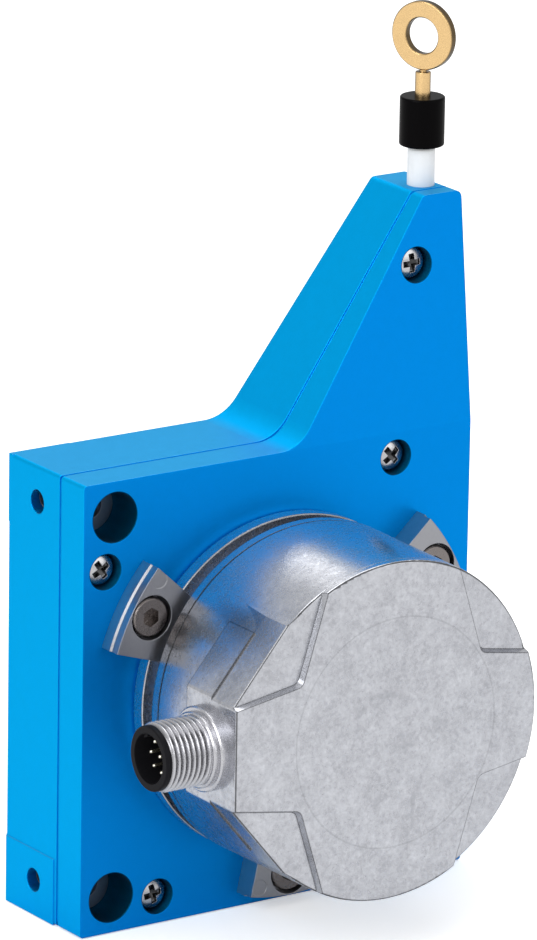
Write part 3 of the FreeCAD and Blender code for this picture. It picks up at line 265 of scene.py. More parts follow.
def ring_faces(rows, columns, closed):
    """Quads of a grid whose columns run round, first row to last, or back to the first row where closed."""
    row = np.arange(rows if closed else rows - 1)
    column = np.arange(columns)
    r, c = np.meshgrid(row, column, indexing="ij")
    r1 = (r + 1) % rows
    c1 = (c + 1) % columns
    return np.stack([r * columns + c, r * columns + c1, r1 * columns + c1, r1 * columns + c], -1).reshape(-1, 4)


def closed_ring(grid):
    """Points and faces of a grid (rows, columns, 3) that closes both ways, like a torus."""
    rows, columns = grid.shape[:2]
    return grid.reshape(-1, 3), ring_faces(rows, columns, True).tolist()


def capped_tube(grid):
    """Points and faces of a grid whose first and last rows are drawn together into one point each."""
    rows, columns = grid.shape[:2]
    points = np.vstack([grid.reshape(-1, 3), grid[0].mean(0), grid[-1].mean(0)])
    first = np.arange(columns)
    after = (first + 1) % columns
    last = (rows - 1) * columns
    start = np.stack([after, first, np.full(columns, rows * columns)], -1)
    stop = np.stack([last + first, last + after, np.full(columns, rows * columns + 1)], -1)
    return points, ring_faces(rows, columns, False).tolist() + start.tolist() + stop.tolist()


def full_turn(count):
    """Angles of a full turn in equal steps."""
    return np.arange(count) / count * 2 * math.pi


def along_profile(corners, counts):
    """Points spread evenly along each span of a polyline, the ends of a span shared with the next."""
    corners = np.array(corners, float)
    spans = [a + (b - a) * np.arange(n)[:, None] / n for a, b, n in zip(corners[:-1], corners[1:], counts)]
    return np.vstack(spans + [corners[-1:]])


def new_group(name, inputs, outputs):
    """Shader node group with named inputs (name, socket type, default) and outputs (name, socket type)."""
    group = bpy.data.node_groups.new(name, "ShaderNodeTree")
    for label, kind, value in inputs:
        socket = group.interface.new_socket(name=label, in_out="INPUT", socket_type=kind)
        if value is not None:
            socket.default_value = value
    for label, kind in outputs:
        group.interface.new_socket(name=label, in_out="OUTPUT", socket_type=kind)
    return group


def add_node(tree, kind, values=None, links=None, **settings):
    """Node with its settings, input values and input links, each by the socket's name or number."""
    node = tree.nodes.new(kind)
    for label, value in settings.items():
        setattr(node, label, value)
    for label, value in (values or {}).items():
        node.inputs[label].default_value = value
    for label, source in (links or {}).items():
        tree.links.new(source, node.inputs[label])
    return node


def calc(tree, operation, first, second=None):
    """Result of a sum on sockets or plain numbers."""
    node = add_node(tree, "ShaderNodeMath", operation=operation)
    for place, value in enumerate((first, second)):
        if isinstance(value, bpy.types.NodeSocket):
            tree.links.new(value, node.inputs[place])
        elif value is not None:
            node.inputs[place].default_value = value
    return node.outputs[0]


def ramp(tree, value, start, stop):
    """0 to 1 as a value goes from start to stop, and held there beyond."""
    node = add_node(tree, "ShaderNodeMapRange", {"From Min": start, "From Max": stop}, {"Value": value})
    return node.outputs[0]


def along_axes(tree, label):
    """The three parts of the surface point ("Object") or of its normal ("Normal"), in Object coordinates."""
    place = add_node(tree, "ShaderNodeTexCoord")
    return add_node(tree, "ShaderNodeSeparateXYZ", None, {0: place.outputs[label]}).outputs


def grain_group():
    """Blasted grain: two noises on Object coordinates, a fine and a coarse one, as a mask and as a height."""
    group = new_group("Blasted grain", [
        ("Size", "NodeSocketFloat", 0.0003),
    ], [("Mask", "NodeSocketFloat"), ("Height", "NodeSocketFloat")])
    inside = add_node(group, "NodeGroupInput")
    place = add_node(group, "ShaderNodeTexCoord")
    scale = calc(group, "DIVIDE", 1.0, inside.outputs["Size"])
    fine = add_node(group, "ShaderNodeTexNoise", {"Detail": 2.0, "Roughness": 0.6},
                    {"Vector": place.outputs["Object"], "Scale": scale})
    slow = calc(group, "MULTIPLY", scale, COARSE_GRAIN)
    coarse = add_node(group, "ShaderNodeTexNoise", {"Detail": 3.0},
                      {"Vector": place.outputs["Object"], "Scale": slow})
    mask = add_node(group, "ShaderNodeMix", {0: 0.4}, {2: fine.outputs["Fac"], 3: coarse.outputs["Fac"]})
    outside = add_node(group, "NodeGroupOutput")
    group.links.new(mask.outputs[0], outside.inputs["Mask"])
    group.links.new(fine.outputs["Fac"], outside.inputs["Height"])
    return group


def fleck_group():
    """Tumbled casting: stretched noise, small cells and slow clouds mixed into one mask and one height."""
    group = new_group("Tumbled flecks", [
        ("Size", "NodeSocketFloat", 0.001), ("Contrast", "NodeSocketFloat", 1.0),
    ], [("Mask", "NodeSocketFloat"), ("Height", "NodeSocketFloat")])
    inside = add_node(group, "NodeGroupInput")
    place = add_node(group, "ShaderNodeTexCoord")
    scale = calc(group, "DIVIDE", 1.0, inside.outputs["Size"])
    cells = add_node(group, "ShaderNodeTexVoronoi", {"Randomness": 1.0},
                     {"Vector": place.outputs["Object"], "Scale": scale}, feature="SMOOTH_F1")
    noise = add_node(group, "ShaderNodeTexNoise", {"Detail": 4.0, "Roughness": 0.65, "Distortion": 0.6},
                     {"Vector": place.outputs["Object"], "Scale": scale})
    slow = calc(group, "MULTIPLY", scale, CLOUD_SIZE)
    clouds = add_node(group, "ShaderNodeTexNoise", {"Detail": 2.0},
                      {"Vector": place.outputs["Object"], "Scale": slow})
    first = add_node(group, "ShaderNodeMix", {0: 0.3}, {2: noise.outputs["Fac"], 3: cells.outputs["Distance"]})
    second = add_node(group, "ShaderNodeMix", {0: 0.3}, {2: first.outputs[0], 3: clouds.outputs["Fac"]})
    centred = calc(group, "SUBTRACT", second.outputs[0], 0.5)
    wide = add_node(group, "ShaderNodeMath", {2: 0.5}, {0: centred, 1: inside.outputs["Contrast"]},
                    operation="MULTIPLY_ADD", use_clamp=True)
    outside = add_node(group, "NodeGroupOutput")
    group.links.new(wide.outputs[0], outside.inputs["Mask"])
    group.links.new(second.outputs[0], outside.inputs["Height"])
    return group


GROUPS = {}


def shared(name):
    """Each shared node group, built once."""
    makers = {"grain": grain_group, "fleck": fleck_group}
    if name not in GROUPS:
        GROUPS[name] = makers[name]()
    return GROUPS[name]


def start_material(name, metallic, roughness, **settings):
    """Material with a Principled BSDF, its plain values set on the shader's own sockets."""
    material = bpy.data.materials.new(name)
    material.use_nodes = True
    shader = material.node_tree.nodes["Principled BSDF"]
    shader.inputs["Metallic"].default_value = metallic
    shader.inputs["Roughness"].default_value = roughness
    for label, value in settings.items():
        shader.inputs[label.replace("_", " ")].default_value = value
    return material, material.node_tree, shader


def use_group(tree, name, **values):
    """A shared group placed in a material with its own values."""
    node = tree.nodes.new("ShaderNodeGroup")
    node.node_tree = shared(name)
    for label, value in values.items():
        node.inputs[label].default_value = value
    return node


def colour_between(tree, shader, mask, low, high):
    """Base colour that runs from low to high with a mask."""
    mix = add_node(tree, "ShaderNodeMix", {6: (*low, 1), 7: (*high, 1)}, {0: mask}, data_type="RGBA")
    tree.links.new(mix.outputs[2], shader.inputs["Base Color"])
    return mix


def value_between(tree, shader, label, mask, low, high):
    """Input of the shader that runs from low to high with a mask."""
    spread = add_node(tree, "ShaderNodeMapRange", {"To Min": low, "To Max": high}, {"Value": mask})
    tree.links.new(spread.outputs[0], shader.inputs[label])


def bump_from(tree, shader, height, distance, strength=1.0, edge=0.0):
    """Bump from a height, on top of rounded edges where an edge radius is given."""
    bump = add_node(tree, "ShaderNodeBump", {"Distance": distance, "Strength": strength}, {"Height": height})
    if edge > 0:
        soft = add_node(tree, "ShaderNodeBevel", {"Radius": edge}, samples=6)
        tree.links.new(soft.outputs[0], bump.inputs["Normal"])
    tree.links.new(bump.outputs[0], shader.inputs["Normal"])


def edge_mask(tree, radius, flat, full):
    """1 at edges and 0 on faces: how far a normal that is averaged over a radius turns from the face's own,
    between two cosines."""
    soft = add_node(tree, "ShaderNodeBevel", {"Radius": radius}, samples=8)
    own = add_node(tree, "ShaderNodeNewGeometry")
    turned = add_node(tree, "ShaderNodeVectorMath", None,
                      {0: soft.outputs[0], 1: own.outputs["Normal"]}, operation="DOT_PRODUCT")
    return ramp(tree, turned.outputs["Value"], flat, full)


def darkened(tree, colour, mask, factor):
    """Colour multiplied by a grey that runs from 1 to a factor with a mask."""
    grey = add_node(tree, "ShaderNodeMix", {6: (1, 1, 1, 1), 7: (factor, factor, factor, 1)}, {0: mask},
                    data_type="RGBA")
    return add_node(tree, "ShaderNodeMix", {0: 1.0}, {6: colour, 7: grey.outputs[2]}, data_type="RGBA",
                    blend_type="MULTIPLY").outputs[2]


def distance_from_axis(tree, axis, centre):
    """Distance of a surface point from an axis through a centre, by Object coordinates with that axis left
    out."""
    place = add_node(tree, "ShaderNodeTexCoord")
    local = add_node(tree, "ShaderNodeVectorMath", {1: centre}, {0: place.outputs["Object"]},
                     operation="SUBTRACT")
    flat = add_node(tree, "ShaderNodeVectorMath", {1: tuple(0.0 if i == axis else 1.0 for i in range(3))},
                    {0: local.outputs[0]}, operation="MULTIPLY")
    length = add_node(tree, "ShaderNodeVectorMath", None, {0: flat.outputs[0]}, operation="LENGTH")
    return length.outputs["Value"]


def bore_mask(tree, bores):
    """1 inside any of the front bores along Y, each given by the solid in it and its radius. A bore's mask
    ends at the middle of its solid, so that it stays off the rear face."""
    along_y = along_axes(tree, "Object")[1]
    mask = None
    for node, radius in bores:
        low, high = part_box(node)
        centre = ((low[0] + high[0]) / 2, 0.0, (low[2] + high[2]) / 2)
        near = calc(tree, "LESS_THAN", distance_from_axis(tree, 1, centre), radius)
        inside = calc(tree, "MULTIPLY", near, calc(tree, "LESS_THAN", along_y, (low[1] + high[1]) / 2))
        mask = inside if mask is None else calc(tree, "MAXIMUM", mask, inside)
    return mask


def grain_finish(tree, shader, size, colours, roughnesses, edge=FINE_EDGE, strength=GRAIN_STRENGTH):
    """Base colour and roughness that run between two values with a grain, whose height gives a shallow bump
    over rounded edges. Gives the colour."""
    grain = use_group(tree, "grain", Size=size)
    plain = colour_between(tree, shader, grain.outputs["Mask"], *colours)
    value_between(tree, shader, "Roughness", grain.outputs["Mask"], *roughnesses)
    bump_from(tree, shader, grain.outputs["Height"], GRAIN_BUMP, strength, edge)
    return plain.outputs[2]


def scaled(colour, factor):
    """Colour times a factor."""
    return tuple(min(1.0, c * factor) for c in colour)


# Materials

def blue_housing():
    """Satin blue anodised metal with a fine blasted grain, a painted sheen that makes it bluer and paler as it
    turns away, and painted shade in the bores."""
    finish = bpy.context.scene.housing_finish
    material, tree, shader = start_material("blue_housing", 0.96, 0.46, Specular_Tint=(0.1, 0.6, 0.8, 1))
    grain = use_group(tree, "grain", Size=finish.grain)
    # Painted sheen: faces that turn away from the camera get the paler slant and grazing blues.
    facing = add_node(tree, "ShaderNodeLayerWeight", {"Blend": 0.5}).outputs["Facing"]
    turned = add_node(tree, "ShaderNodeMix", {6: (*finish.colour, 1), 7: (*finish.slant_sheen_colour, 1)},
                      {0: ramp(tree, facing, 0.22, 0.42)}, data_type="RGBA")
    blue = add_node(tree, "ShaderNodeMix", {7: (*finish.grazing_sheen_colour, 1)},
                    {0: ramp(tree, facing, 0.55, 0.75), 6: turned.outputs[2]}, data_type="RGBA")
    shade = add_node(tree, "ShaderNodeMix", {6: (0.86, 0.86, 0.86, 1), 7: (1.0, 1.0, 1.0, 1)},
                     {0: grain.outputs["Mask"]}, data_type="RGBA")
    product = add_node(tree, "ShaderNodeMix", {0: 1.0}, {6: blue.outputs[2], 7: shade.outputs[2]},
                       data_type="RGBA", blend_type="MULTIPLY")
    bores = [(node, MOUNT_BORE) for node in ("mounting_insert_upper", "mounting_insert_lower")]
    bores += [("housing_screw_%d" % number, SCREW_BORE) for number in range(1, 6)]
    tree.links.new(darkened(tree, product.outputs[2], bore_mask(tree, bores), finish.bore_shade),
                   shader.inputs["Base Color"])
    value_between(tree, shader, "Roughness", grain.outputs["Mask"], 0.42, 0.54)
    bump_from(tree, shader, grain.outputs["Height"], 0.00003, 0.35, finish.edge)
    return material


def cast_metal():
    """Tumbled die-cast metal: flecked grey, dark along its edges and the cover's rounded rims, with a faint
    circle on the cover's face."""
    finish = bpy.context.scene.cast_finish
    material, tree, shader = start_material("cast_metal", 1.0, 0.35)
    fleck = use_group(tree, "fleck", Size=finish.fleck, Contrast=2.2)
    grain = use_group(tree, "grain", Size=finish.grain)
    mixed = add_node(tree, "ShaderNodeMix", {0: 0.5}, {2: fleck.outputs["Mask"], 3: grain.outputs["Mask"]})
    both = mixed.outputs[0]
    grey = colour_between(tree, shader, both, finish.dark, finish.light)
    centre = (ENCODER_AXIS_X + WITNESS_OFFSET[0], 0.0, ENCODER_AXIS_Z + WITNESS_OFFSET[1])
    off = calc(tree, "SUBTRACT", distance_from_axis(tree, 1, centre), WITNESS_RADIUS)
    line = ramp(tree, calc(tree, "ABSOLUTE", off), *WITNESS_EDGE)
    ringed = darkened(tree, grey.outputs[2], line, 0.86)
    edged = darkened(tree, ringed, edge_mask(tree, 0.00028, 0.996, 0.96), finish.edge_shade)
    lean = calc(tree, "SUBTRACT", along_axes(tree, "Normal")[1], RIM_NORMAL)
    rim = ramp(tree, calc(tree, "ABSOLUTE", lean), *RIM_SPREAD)
    on_cap = calc(tree, "LESS_THAN", along_axes(tree, "Object")[1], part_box("encoder_flange")[0][1])
    rounded = calc(tree, "MULTIPLY", rim, on_cap)
    tree.links.new(darkened(tree, edged, rounded, finish.edge_shade), shader.inputs["Base Color"])
    value_between(tree, shader, "Roughness", both, 0.36, 0.16)
    bump_from(tree, shader, both, 0.00003, 0.5, 0.00012)
    return material


def grained_metal(name, colour, roughness, grain_size=0.0003, metallic=1.0, edge=0.00015):
    """Plain plated or ground metal with a fine grain."""
    material, tree, shader = start_material(name, metallic, roughness)
    grain_finish(tree, shader, grain_size, (scaled(colour, 0.88), scaled(colour, 1.12)),
                 (roughness * 0.8, roughness * 1.2), edge)
    return material


def turned_brass():
    """Satin brass with painted shade where it turns away and on the ring's walls, by the mesh's own attribute.
    """
    colour = bpy.context.scene.wire_end_finish.brass
    material, tree, shader = start_material("turned_brass", 1.0, 0.3)
    plain = grain_finish(tree, shader, 0.00025, (scaled(colour, 0.8), scaled(colour, 1.15)), (0.2, 0.34))
    # Painted shade: the brass darkens on faces turned away from the camera and on the ring's inner and outer
    # walls.
    facing = add_node(tree, "ShaderNodeLayerWeight", {"Blend": 0.5}).outputs["Facing"]
    turned = darkened(tree, plain, ramp(tree, facing, 0.4, 0.7), 0.25)
    wall_shade = add_node(tree, "ShaderNodeAttribute", attribute_name="wall_shade")
    tree.links.new(darkened(tree, turned, wall_shade.outputs["Fac"], 0.22), shader.inputs["Base Color"])
    return material


def soft_black(name, colour, roughness):
    """Black rubber or moulded plastic with a faint grain."""
    material, tree, shader = start_material(name, 0.0, roughness, Specular_IOR_Level=0.04)
    grain_finish(tree, shader, 0.0004, (scaled(colour, 0.8), scaled(colour, 1.25)),
                 (roughness * 0.8, roughness * 1.2))
    return material


def white_nozzle():
    """Translucent white plastic."""
    colour = bpy.context.scene.wire_end_finish.nozzle
    material, tree, shader = start_material("white_nozzle", 0.0, 0.35, Subsurface_Weight=0.4,
                                            Subsurface_Scale=0.002, Subsurface_Radius=(1.0, 1.0, 1.0))
    grain_finish(tree, shader, 0.0006, (scaled(colour, 0.94), scaled(colour, 1.02)), (0.3, 0.42), strength=0.2)
    return material


def thread_nickel():
    """Nickel-plated brass with painted shade at the root of its thread, which leaves its crest bright."""
    depth = bpy.context.scene.connector_sizes.depth
    material, tree, shader = start_material("nickel_plate", 1.0, 0.26)
    plain = grain_finish(tree, shader, 0.0004, (screen_colour(176, 176, 181), screen_colour(204, 204, 208)),
                         (0.22, 0.32))
    radius = distance_from_axis(tree, 0, (0.0, CONNECTOR_Y, ENCODER_AXIS_Z))
    # Painted shade, darkest where the radius reaches the thread's root.
    root = ramp(tree, radius, THREAD_CREST - 0.3 * depth, THREAD_CREST - depth)
    tree.links.new(darkened(tree, plain, root, 0.25), shader.inputs["Base Color"])
    return material


def zinc_plate():
    """Zinc-plated steel with painted shade at the bottom of the cross recess, by the mesh's own depth
    attribute.
    """
    material, tree, shader = start_material("zinc_plate", 1.0, 0.26)
    plain = grain_finish(tree, shader, 0.0004, (screen_colour(176, 176, 178), screen_colour(206, 206, 208)),
                         (0.2, 0.32))
    # Painted shade in the cross recess, darkest where it is deepest.
    depth = add_node(tree, "ShaderNodeAttribute", attribute_name="recess")
    tree.links.new(darkened(tree, plain, depth.outputs["Fac"], 0.12), shader.inputs["Base Color"])
    return material


def disc_clear():
    """Clear code disc."""
    material, tree, shader = start_material("disc_clear", 0.0, 0.05, Transmission_Weight=0.9)
    grain = use_group(tree, "grain", Size=0.001)
    colour_between(tree, shader, grain.outputs["Mask"], (0.85, 0.9, 0.9), (0.95, 0.97, 0.97))
    return material


def own_black(name):
    """Black in the user's own rubber colour."""
    return soft_black(name, bpy.context.scene.wire_end_finish.rubber, 0.34)


def plain_black(name, shade, roughness):
    """Maker of a plain black."""
    return lambda: soft_black(name, screen_colour(*shade), roughness)


def metal(name, shade, roughness, grain_size, **settings):
    """Maker of a plain grained metal."""
    return lambda: grained_metal(name, screen_colour(*shade), roughness, grain_size, **settings)


# Makers of the solids' materials, each with the solids that it finishes
NODE_FINISHES = [
    (blue_housing, ("rear_housing", "front_plate")),
    (cast_metal, ("encoder_flange", "encoder_cap")),
    (metal("clamp_metal", (156, 157, 162), 0.36, 0.0006, edge=0.0002),
     ("servo_clamp_1", "servo_clamp_2", "servo_clamp_3")),
    (metal("clamp_screw_metal", (128, 122, 120), 0.28, 0.0004),
     ("clamp_screw_1", "clamp_screw_2", "clamp_screw_3")),
    (metal("insert_steel", (120, 122, 128), 0.45, 0.0006), ("mounting_insert_upper", "mounting_insert_lower")),
    (lambda: own_black("black_rubber"), ("wire_stopper",)),
    (plain_black("seal_rubber", (30, 30, 30), 0.6), ("wire_wiper", "encoder_seal")),
    (plain_black("black_plastic", (24, 24, 27), 0.35), ("connector_insert",)),
    (white_nozzle, ("wire_nozzle",)),
    (metal("board_green", (30, 100, 60), 0.5, 0.0005, metallic=0.0), ("circuit_board", "connector_board")),
    (disc_clear, ("code_disc",)),
    (metal("turned_aluminium", (190, 190, 195), 0.35, 0.0005), ("cable_drum", "code_disc_hub")),
    (metal("spring_strip", (110, 112, 124), 0.35, 0.0005), ("spiral_spring",)),
    (metal("ground_steel", (180, 180, 182), 0.25, 0.0005),
     ("drum_axle", "encoder_shaft", "drum_bearing_front_outer", "drum_bearing_front_inner",
      "drum_bearing_rear_outer", "drum_bearing_rear_inner", "encoder_bearing_1_outer",
      "encoder_bearing_1_inner", "encoder_bearing_2_outer", "encoder_bearing_2_inner", "wound_wire")),
]


# Shapes

def thread_shell(sizes):
    """Connector shell with its thread. A closed profile (reach along the axis, radius) is turned about the
    axis, and on the threaded span the radius is less by depth times how far the point is from the crest of a
    helix, whose phase is reach / pitch less angle / full turn; the depth fades out at both ends of the
    span."""
    low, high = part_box("connector_shell")
    end = -low[0]
    collar = (high[2] - low[2]) / 2
    root = -high[0]
    seat = -(ENCODER_AXIS_X - SHELL_SEAT)
    collar_end = seat + COLLAR_LENGTH
    neck_end = seat + NECK_LENGTH
    blank = THREAD_CREST - 0.1 * MM
    corners = [
        (root, SHELL_BORE), (root, TAIL_RADIUS), (seat, TAIL_RADIUS), (seat, collar),
        (collar_end - SHELL_CHAMFER, collar), (collar_end, collar - SHELL_CHAMFER), (collar_end, NECK_RADIUS),
        (neck_end - SHELL_CHAMFER, NECK_RADIUS), (neck_end, NECK_RADIUS - SHELL_CHAMFER), (neck_end, blank),
        (end, blank), (end, SHELL_BORE), (root, SHELL_BORE),
    ]
    turns = (end - neck_end) / sizes.pitch
    counts = [1, 2, 2, 2, 1, 1, 1, 1, 2, int(turns * 14), 2, 2]
    profile = along_profile(corners, counts)[:-1]
    angle = full_turn(120)
    reach = profile[:, :1] + 0 * angle
    radius = profile[:, 1:] + 0 * angle
    threaded = (profile[:, 0] > neck_end + 1e-7) & (profile[:, 1] > THREAD_FLOOR)
    phase = (reach / sizes.pitch - angle / (2 * math.pi)) % 1.0
    valley = np.clip((1.15 - 2 * np.abs(phase - 0.5) * 1.3), 0, 1)
    fade = np.clip((end - reach) / (0.8 * MM), 0, 1) * np.clip((reach - neck_end) / (0.5 * MM), 0, 1)
    cut = sizes.depth * (valley * fade + (1 - np.clip((end - reach) / (0.45 * MM), 0, 1)))
    radius = np.where(threaded[:, None], THREAD_CREST - cut, radius)
    return np.stack([-reach, CONNECTOR_Y + radius * np.cos(angle), ENCODER_AXIS_Z + radius * np.sin(angle)], -1)


def pin_shape(node):
    """Round contact pin: a profile turned about the pin's axis, its tip half an ellipse 0.6 of the radius
    long."""
    low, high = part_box(node)
    radius = (high[1] - low[1]) / 2
    y = (high[1] + low[1]) / 2
    z = (high[2] + low[2]) / 2
    tip = np.linspace(0, math.pi / 2, 7)[:-1]
    length = 1.2 * radius
    reach = np.concatenate([[high[0]], low[0] + length * (1 - np.cos(math.pi / 2 - tip))])
    across = np.concatenate([[radius], radius * np.cos(tip)])
    angle = full_turn(24)
    x = reach[:, None] + 0 * angle
    return np.stack([x, y + across[:, None] * np.cos(angle), z + across[:, None] * np.sin(angle)], -1)


def screw_shape(node, sizes, turn):
    """Sunk cross-recess screw. A profile (radius, depth) from the middle of the head over its dome, down the
    rim, in under it and down the shank is turned about the screw's axis. In the head the depth grows by the
    recess: arms that are as wide as arm_width and as long as arm_span, deepest in the middle, with edges that
    fall over a smooth step."""
    low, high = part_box(node)
    cx = (low[0] + high[0]) / 2
    cz = (low[2] + high[2]) / 2
    head = (high[0] - low[0]) / 2
    r = np.linspace(0.0, head - HEAD_ROUND, 46)
    top = HEAD_DOME * (r / head) ** 2
    bend = np.linspace(0, math.pi / 2, 7)[1:]
    edge_r = head - HEAD_ROUND + HEAD_ROUND * np.sin(bend)
    edge_y = top[-1] + HEAD_ROUND * (1 - np.cos(bend)) + (HEAD_DOME - top[-1]) * np.sin(bend) * 0.5
    tail = [(head, HEAD_HEIGHT), (SHANK_RADIUS, HEAD_HEIGHT), (SHANK_RADIUS, SHANK_LENGTH),
            (TIP_RADIUS, high[1] - low[1])]
    radius = np.concatenate([np.maximum(r, 1e-6), edge_r, [p[0] for p in tail]])
    depth = np.concatenate([top, edge_y, [p[1] for p in tail]])
    angle = full_turn(144)
    px = radius[:, None] * np.cos(angle - turn)
    pz = radius[:, None] * np.sin(angle - turn)
    half = sizes.arm_width / 2
    span = sizes.arm_span / 2

    def step(edge, value):
        t = np.clip((edge - value) / RECESS_EDGE + 0.5, 0, 1)
        return t * t * (3 - 2 * t)

    arm_a = step(half, np.abs(pz)) * step(span, np.abs(px))
    arm_b = step(half, np.abs(px)) * step(span, np.abs(pz))
    reach = np.hypot(px, pz)
    sink = np.maximum(arm_a, arm_b) * sizes.depth * np.clip(1.15 - 0.75 * reach / span, 0.25, 1.0)
    in_head = (np.arange(len(radius)) < len(r))[:, None]
    sink = np.where(in_head, sink, 0.0)
    y = low[1] + depth[:, None] + sink
    grid = np.stack([cx + radius[:, None] * np.cos(angle), y, cz + radius[:, None] * np.sin(angle)], -1)
    # The second value is the mask of the painted shade in the recess.
    return grid, np.clip(sink / (0.55 * sizes.depth), 0, 1)


def wire_shape(sizes):
    """Stranded wire: a tube along Z whose radius is less between the strands, by depth times one less the
    absolute cosine of half the strand count times (angle less the helix's turn at that height)."""
    low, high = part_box("draw_wire")
    radius = (high[0] - low[0]) / 2
    rows = int((high[2] - low[2]) / sizes.lay * 14)
    z = np.linspace(low[2], high[2], rows)[:, None]
    angle = full_turn(36)[None, :]
    twist = 2 * math.pi * z / sizes.lay
    groove = 1 - np.abs(np.cos(sizes.strands / 2 * (angle - twist)))
    r = radius * (1 - STRAND_GROOVE * groove)
    return np.stack([WIRE_X + r * np.cos(angle), WIRE_Y + r * np.sin(angle), z + 0 * angle], -1)


def eyelet_shapes():
    """Flat ring and its stem. The ring is a rectangle with broken corners turned about a level axis; the stem
    is a profile (height, radius) turned about the wire, with a waist below the ring."""
    low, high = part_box("end_eyelet")
    middle = Vector((WIRE_X, WIRE_Y, high[2] - RING_OUTER))
    side = RING_HALF - RING_CHAMFER
    inner = RING_HOLE + RING_CHAMFER
    outer = RING_OUTER - RING_CHAMFER
    section = [(RING_OUTER, side), (outer, RING_HALF), (inner, RING_HALF), (RING_HOLE, side),
               (RING_HOLE, -side), (inner, -RING_HALF), (outer, -RING_HALF), (RING_OUTER, -side)]
    across = Vector((math.cos(RING_TURN), math.sin(RING_TURN), 0))
    face = Vector((-math.sin(RING_TURN), math.cos(RING_TURN), 0))
    ring = np.array([[middle + across * (r * math.cos(a)) + face * t + Vector((0, 0, r * math.sin(a)))
                      for r, t in section] for a in full_turn(128)])
    foot = middle.z - RING_OUTER
    profile = [(low[2], STEM_RADIUS), (foot - 0.5 * MM, STEM_RADIUS),
               (foot - 0.35 * MM, STEM_RADIUS - 0.1 * MM), (foot - 0.3 * MM, WAIST_RADIUS),
               (foot + 0.5 * MM, WAIST_RADIUS)]
    stem = np.array([[(WIRE_X + r * math.cos(a), WIRE_Y + r * math.sin(a), z) for a in full_turn(40)]
                     for z, r in profile])
    return ring, stem


# Operators

class OBJECT_OT_finish_solids(bpy.types.Operator):
    """Give each solid its material"""
    bl_idname = "encoder.finish_solids"
    bl_label = "Finish the solids"

    def execute(self, context):
        for maker, nodes in NODE_FINISHES:
            material = maker()
            for node in nodes:
                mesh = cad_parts[node].data
                mesh.materials.clear()
                mesh.materials.append(material)
        return {"FINISHED"}


class OBJECT_OT_connector(bpy.types.Operator):
    """Build the connector's threaded shell and its contact pins"""
    bl_idname = "encoder.connector"
    bl_label = "Connector"

    def execute(self, context):
        nickel = thread_nickel()
        points, faces = closed_ring(thread_shell(context.scene.connector_sizes))
        shell = add_mesh("threaded_shell", points, faces, nickel, "housing", 40.0)
        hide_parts("connector_shell")
        plating = grained_metal("pin_gold", screen_colour(240, 236, 222), 0.25, 0.0003)
        for number in range(1, 9):
            node = "connector_pin_%d" % number
            points, faces = capped_tube(pin_shape(node))
            pin = add_mesh("contact_pin_%d" % number, points, faces, plating, "housing", 40.0)
            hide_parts(node)
        return {"FINISHED"}


class OBJECT_OT_housing_screws(bpy.types.Operator):
    """Build the five cross-recess screws"""
    bl_idname = "encoder.housing_screws"
    bl_label = "Housing screws"

    def execute(self, context):
        sizes = context.scene.screw_sizes
        zinc = zinc_plate()
        for number in range(1, 6):
            node = "housing_screw_%d" % number
            grid, recess = screw_shape(node, sizes, sizes.turn + SCREW_TURNS[number - 1])
            points, faces = capped_tube(grid)
            screw = add_mesh("cross_screw_%d" % number, points, faces, zinc, "housing", 28.0)
            # Painted shade at the bottom of the cross recess, kept as the mesh's recess attribute.
            depth = screw.data.attributes.new("recess", "FLOAT", "POINT")
            depth.data.foreach_set("value", np.concatenate([recess.ravel(), recess[0, :1], recess[-1, :1]]))
            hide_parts(node)
        return {"FINISHED"}


class OBJECT_OT_pull_wire(bpy.types.Operator):
    """Build the stranded wire"""
    bl_idname = "encoder.pull_wire"
    bl_label = "Wire"

    def execute(self, context):
        steel = grained_metal("strand_steel", screen_colour(180, 180, 182), 0.3, 0.0003)
        points, faces = capped_tube(wire_shape(context.scene.wire_sizes))
        wire = add_mesh("stranded_wire", points, faces, steel, smooth_angle=60.0)
        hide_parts("draw_wire")
        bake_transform(wire)
        return {"FINISHED"}


class OBJECT_OT_end_ring(bpy.types.Operator):
    """Build the brass ring with its stem"""
    bl_idname = "encoder.end_ring"
    bl_label = "End ring"

    def execute(self, context):
        ring, stem = eyelet_shapes()
        points, faces = closed_ring(ring)
        stem_points, stem_faces = capped_tube(stem)
        faces = faces + [[i + len(points) for i in face] for face in stem_faces]
        points = np.vstack([points, stem_points])
        piece = add_mesh("brass_ring", points, faces, turned_brass(), "wire_end", 25.0)
        # Mask of the painted shade on the ring's inner and outer walls; the stem gets none.
        wall_shade = piece.data.attributes.new("wall_shade", "FLOAT", "POINT")
        around = np.tile([1.0, 0.0, 0.0, 1.0, 1.0, 0.0, 0.0, 1.0], ring.shape[0])
        wall_shade.data.foreach_set("value", np.concatenate([around, np.zeros(len(stem_points))]))
        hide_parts("end_eyelet")
        return {"FINISHED"}


def softbox(name, place, size, power):
    """Rectangular area lamp that looks at the middle of the object."""
    lamp = bpy.data.lights.new(name, "AREA")
    lamp.shape = "RECTANGLE"
    lamp.size, lamp.size_y = size
    lamp.energy = power
    holder = bpy.data.objects.new(name, lamp)
    bpy.context.scene.collection.objects.link(holder)
    away = Vector(LIGHT_TARGET) - Vector(place)
    holder.matrix_world = Matrix.Translation(place) @ away.to_track_quat("-Z", "Y").to_matrix().to_4x4()


def floor_sheet(size):
    """Flat square floor with a gently rolled rim: z falls by the square of how far a point is past 0.9 of the
    half."""
    line = np.linspace(-size / 2, size / 2, 33)
    x, y = np.meshgrid(line, line, indexing="ij")
    past = np.clip(np.maximum(np.abs(x), np.abs(y)) / (size / 2) - 0.9, 0, None)
    grid = np.stack([x, y, FLOOR_Z - 0.0002 - past ** 2], -1)
    rows, columns = grid.shape[:2]
    r, c = np.meshgrid(np.arange(rows - 1), np.arange(columns - 1), indexing="ij")
    first = r * columns + c
    faces = np.stack([first, first + columns, first + columns + 1, first + 1], -1).reshape(-1, 4)
    return grid.reshape(-1, 3), faces.tolist()


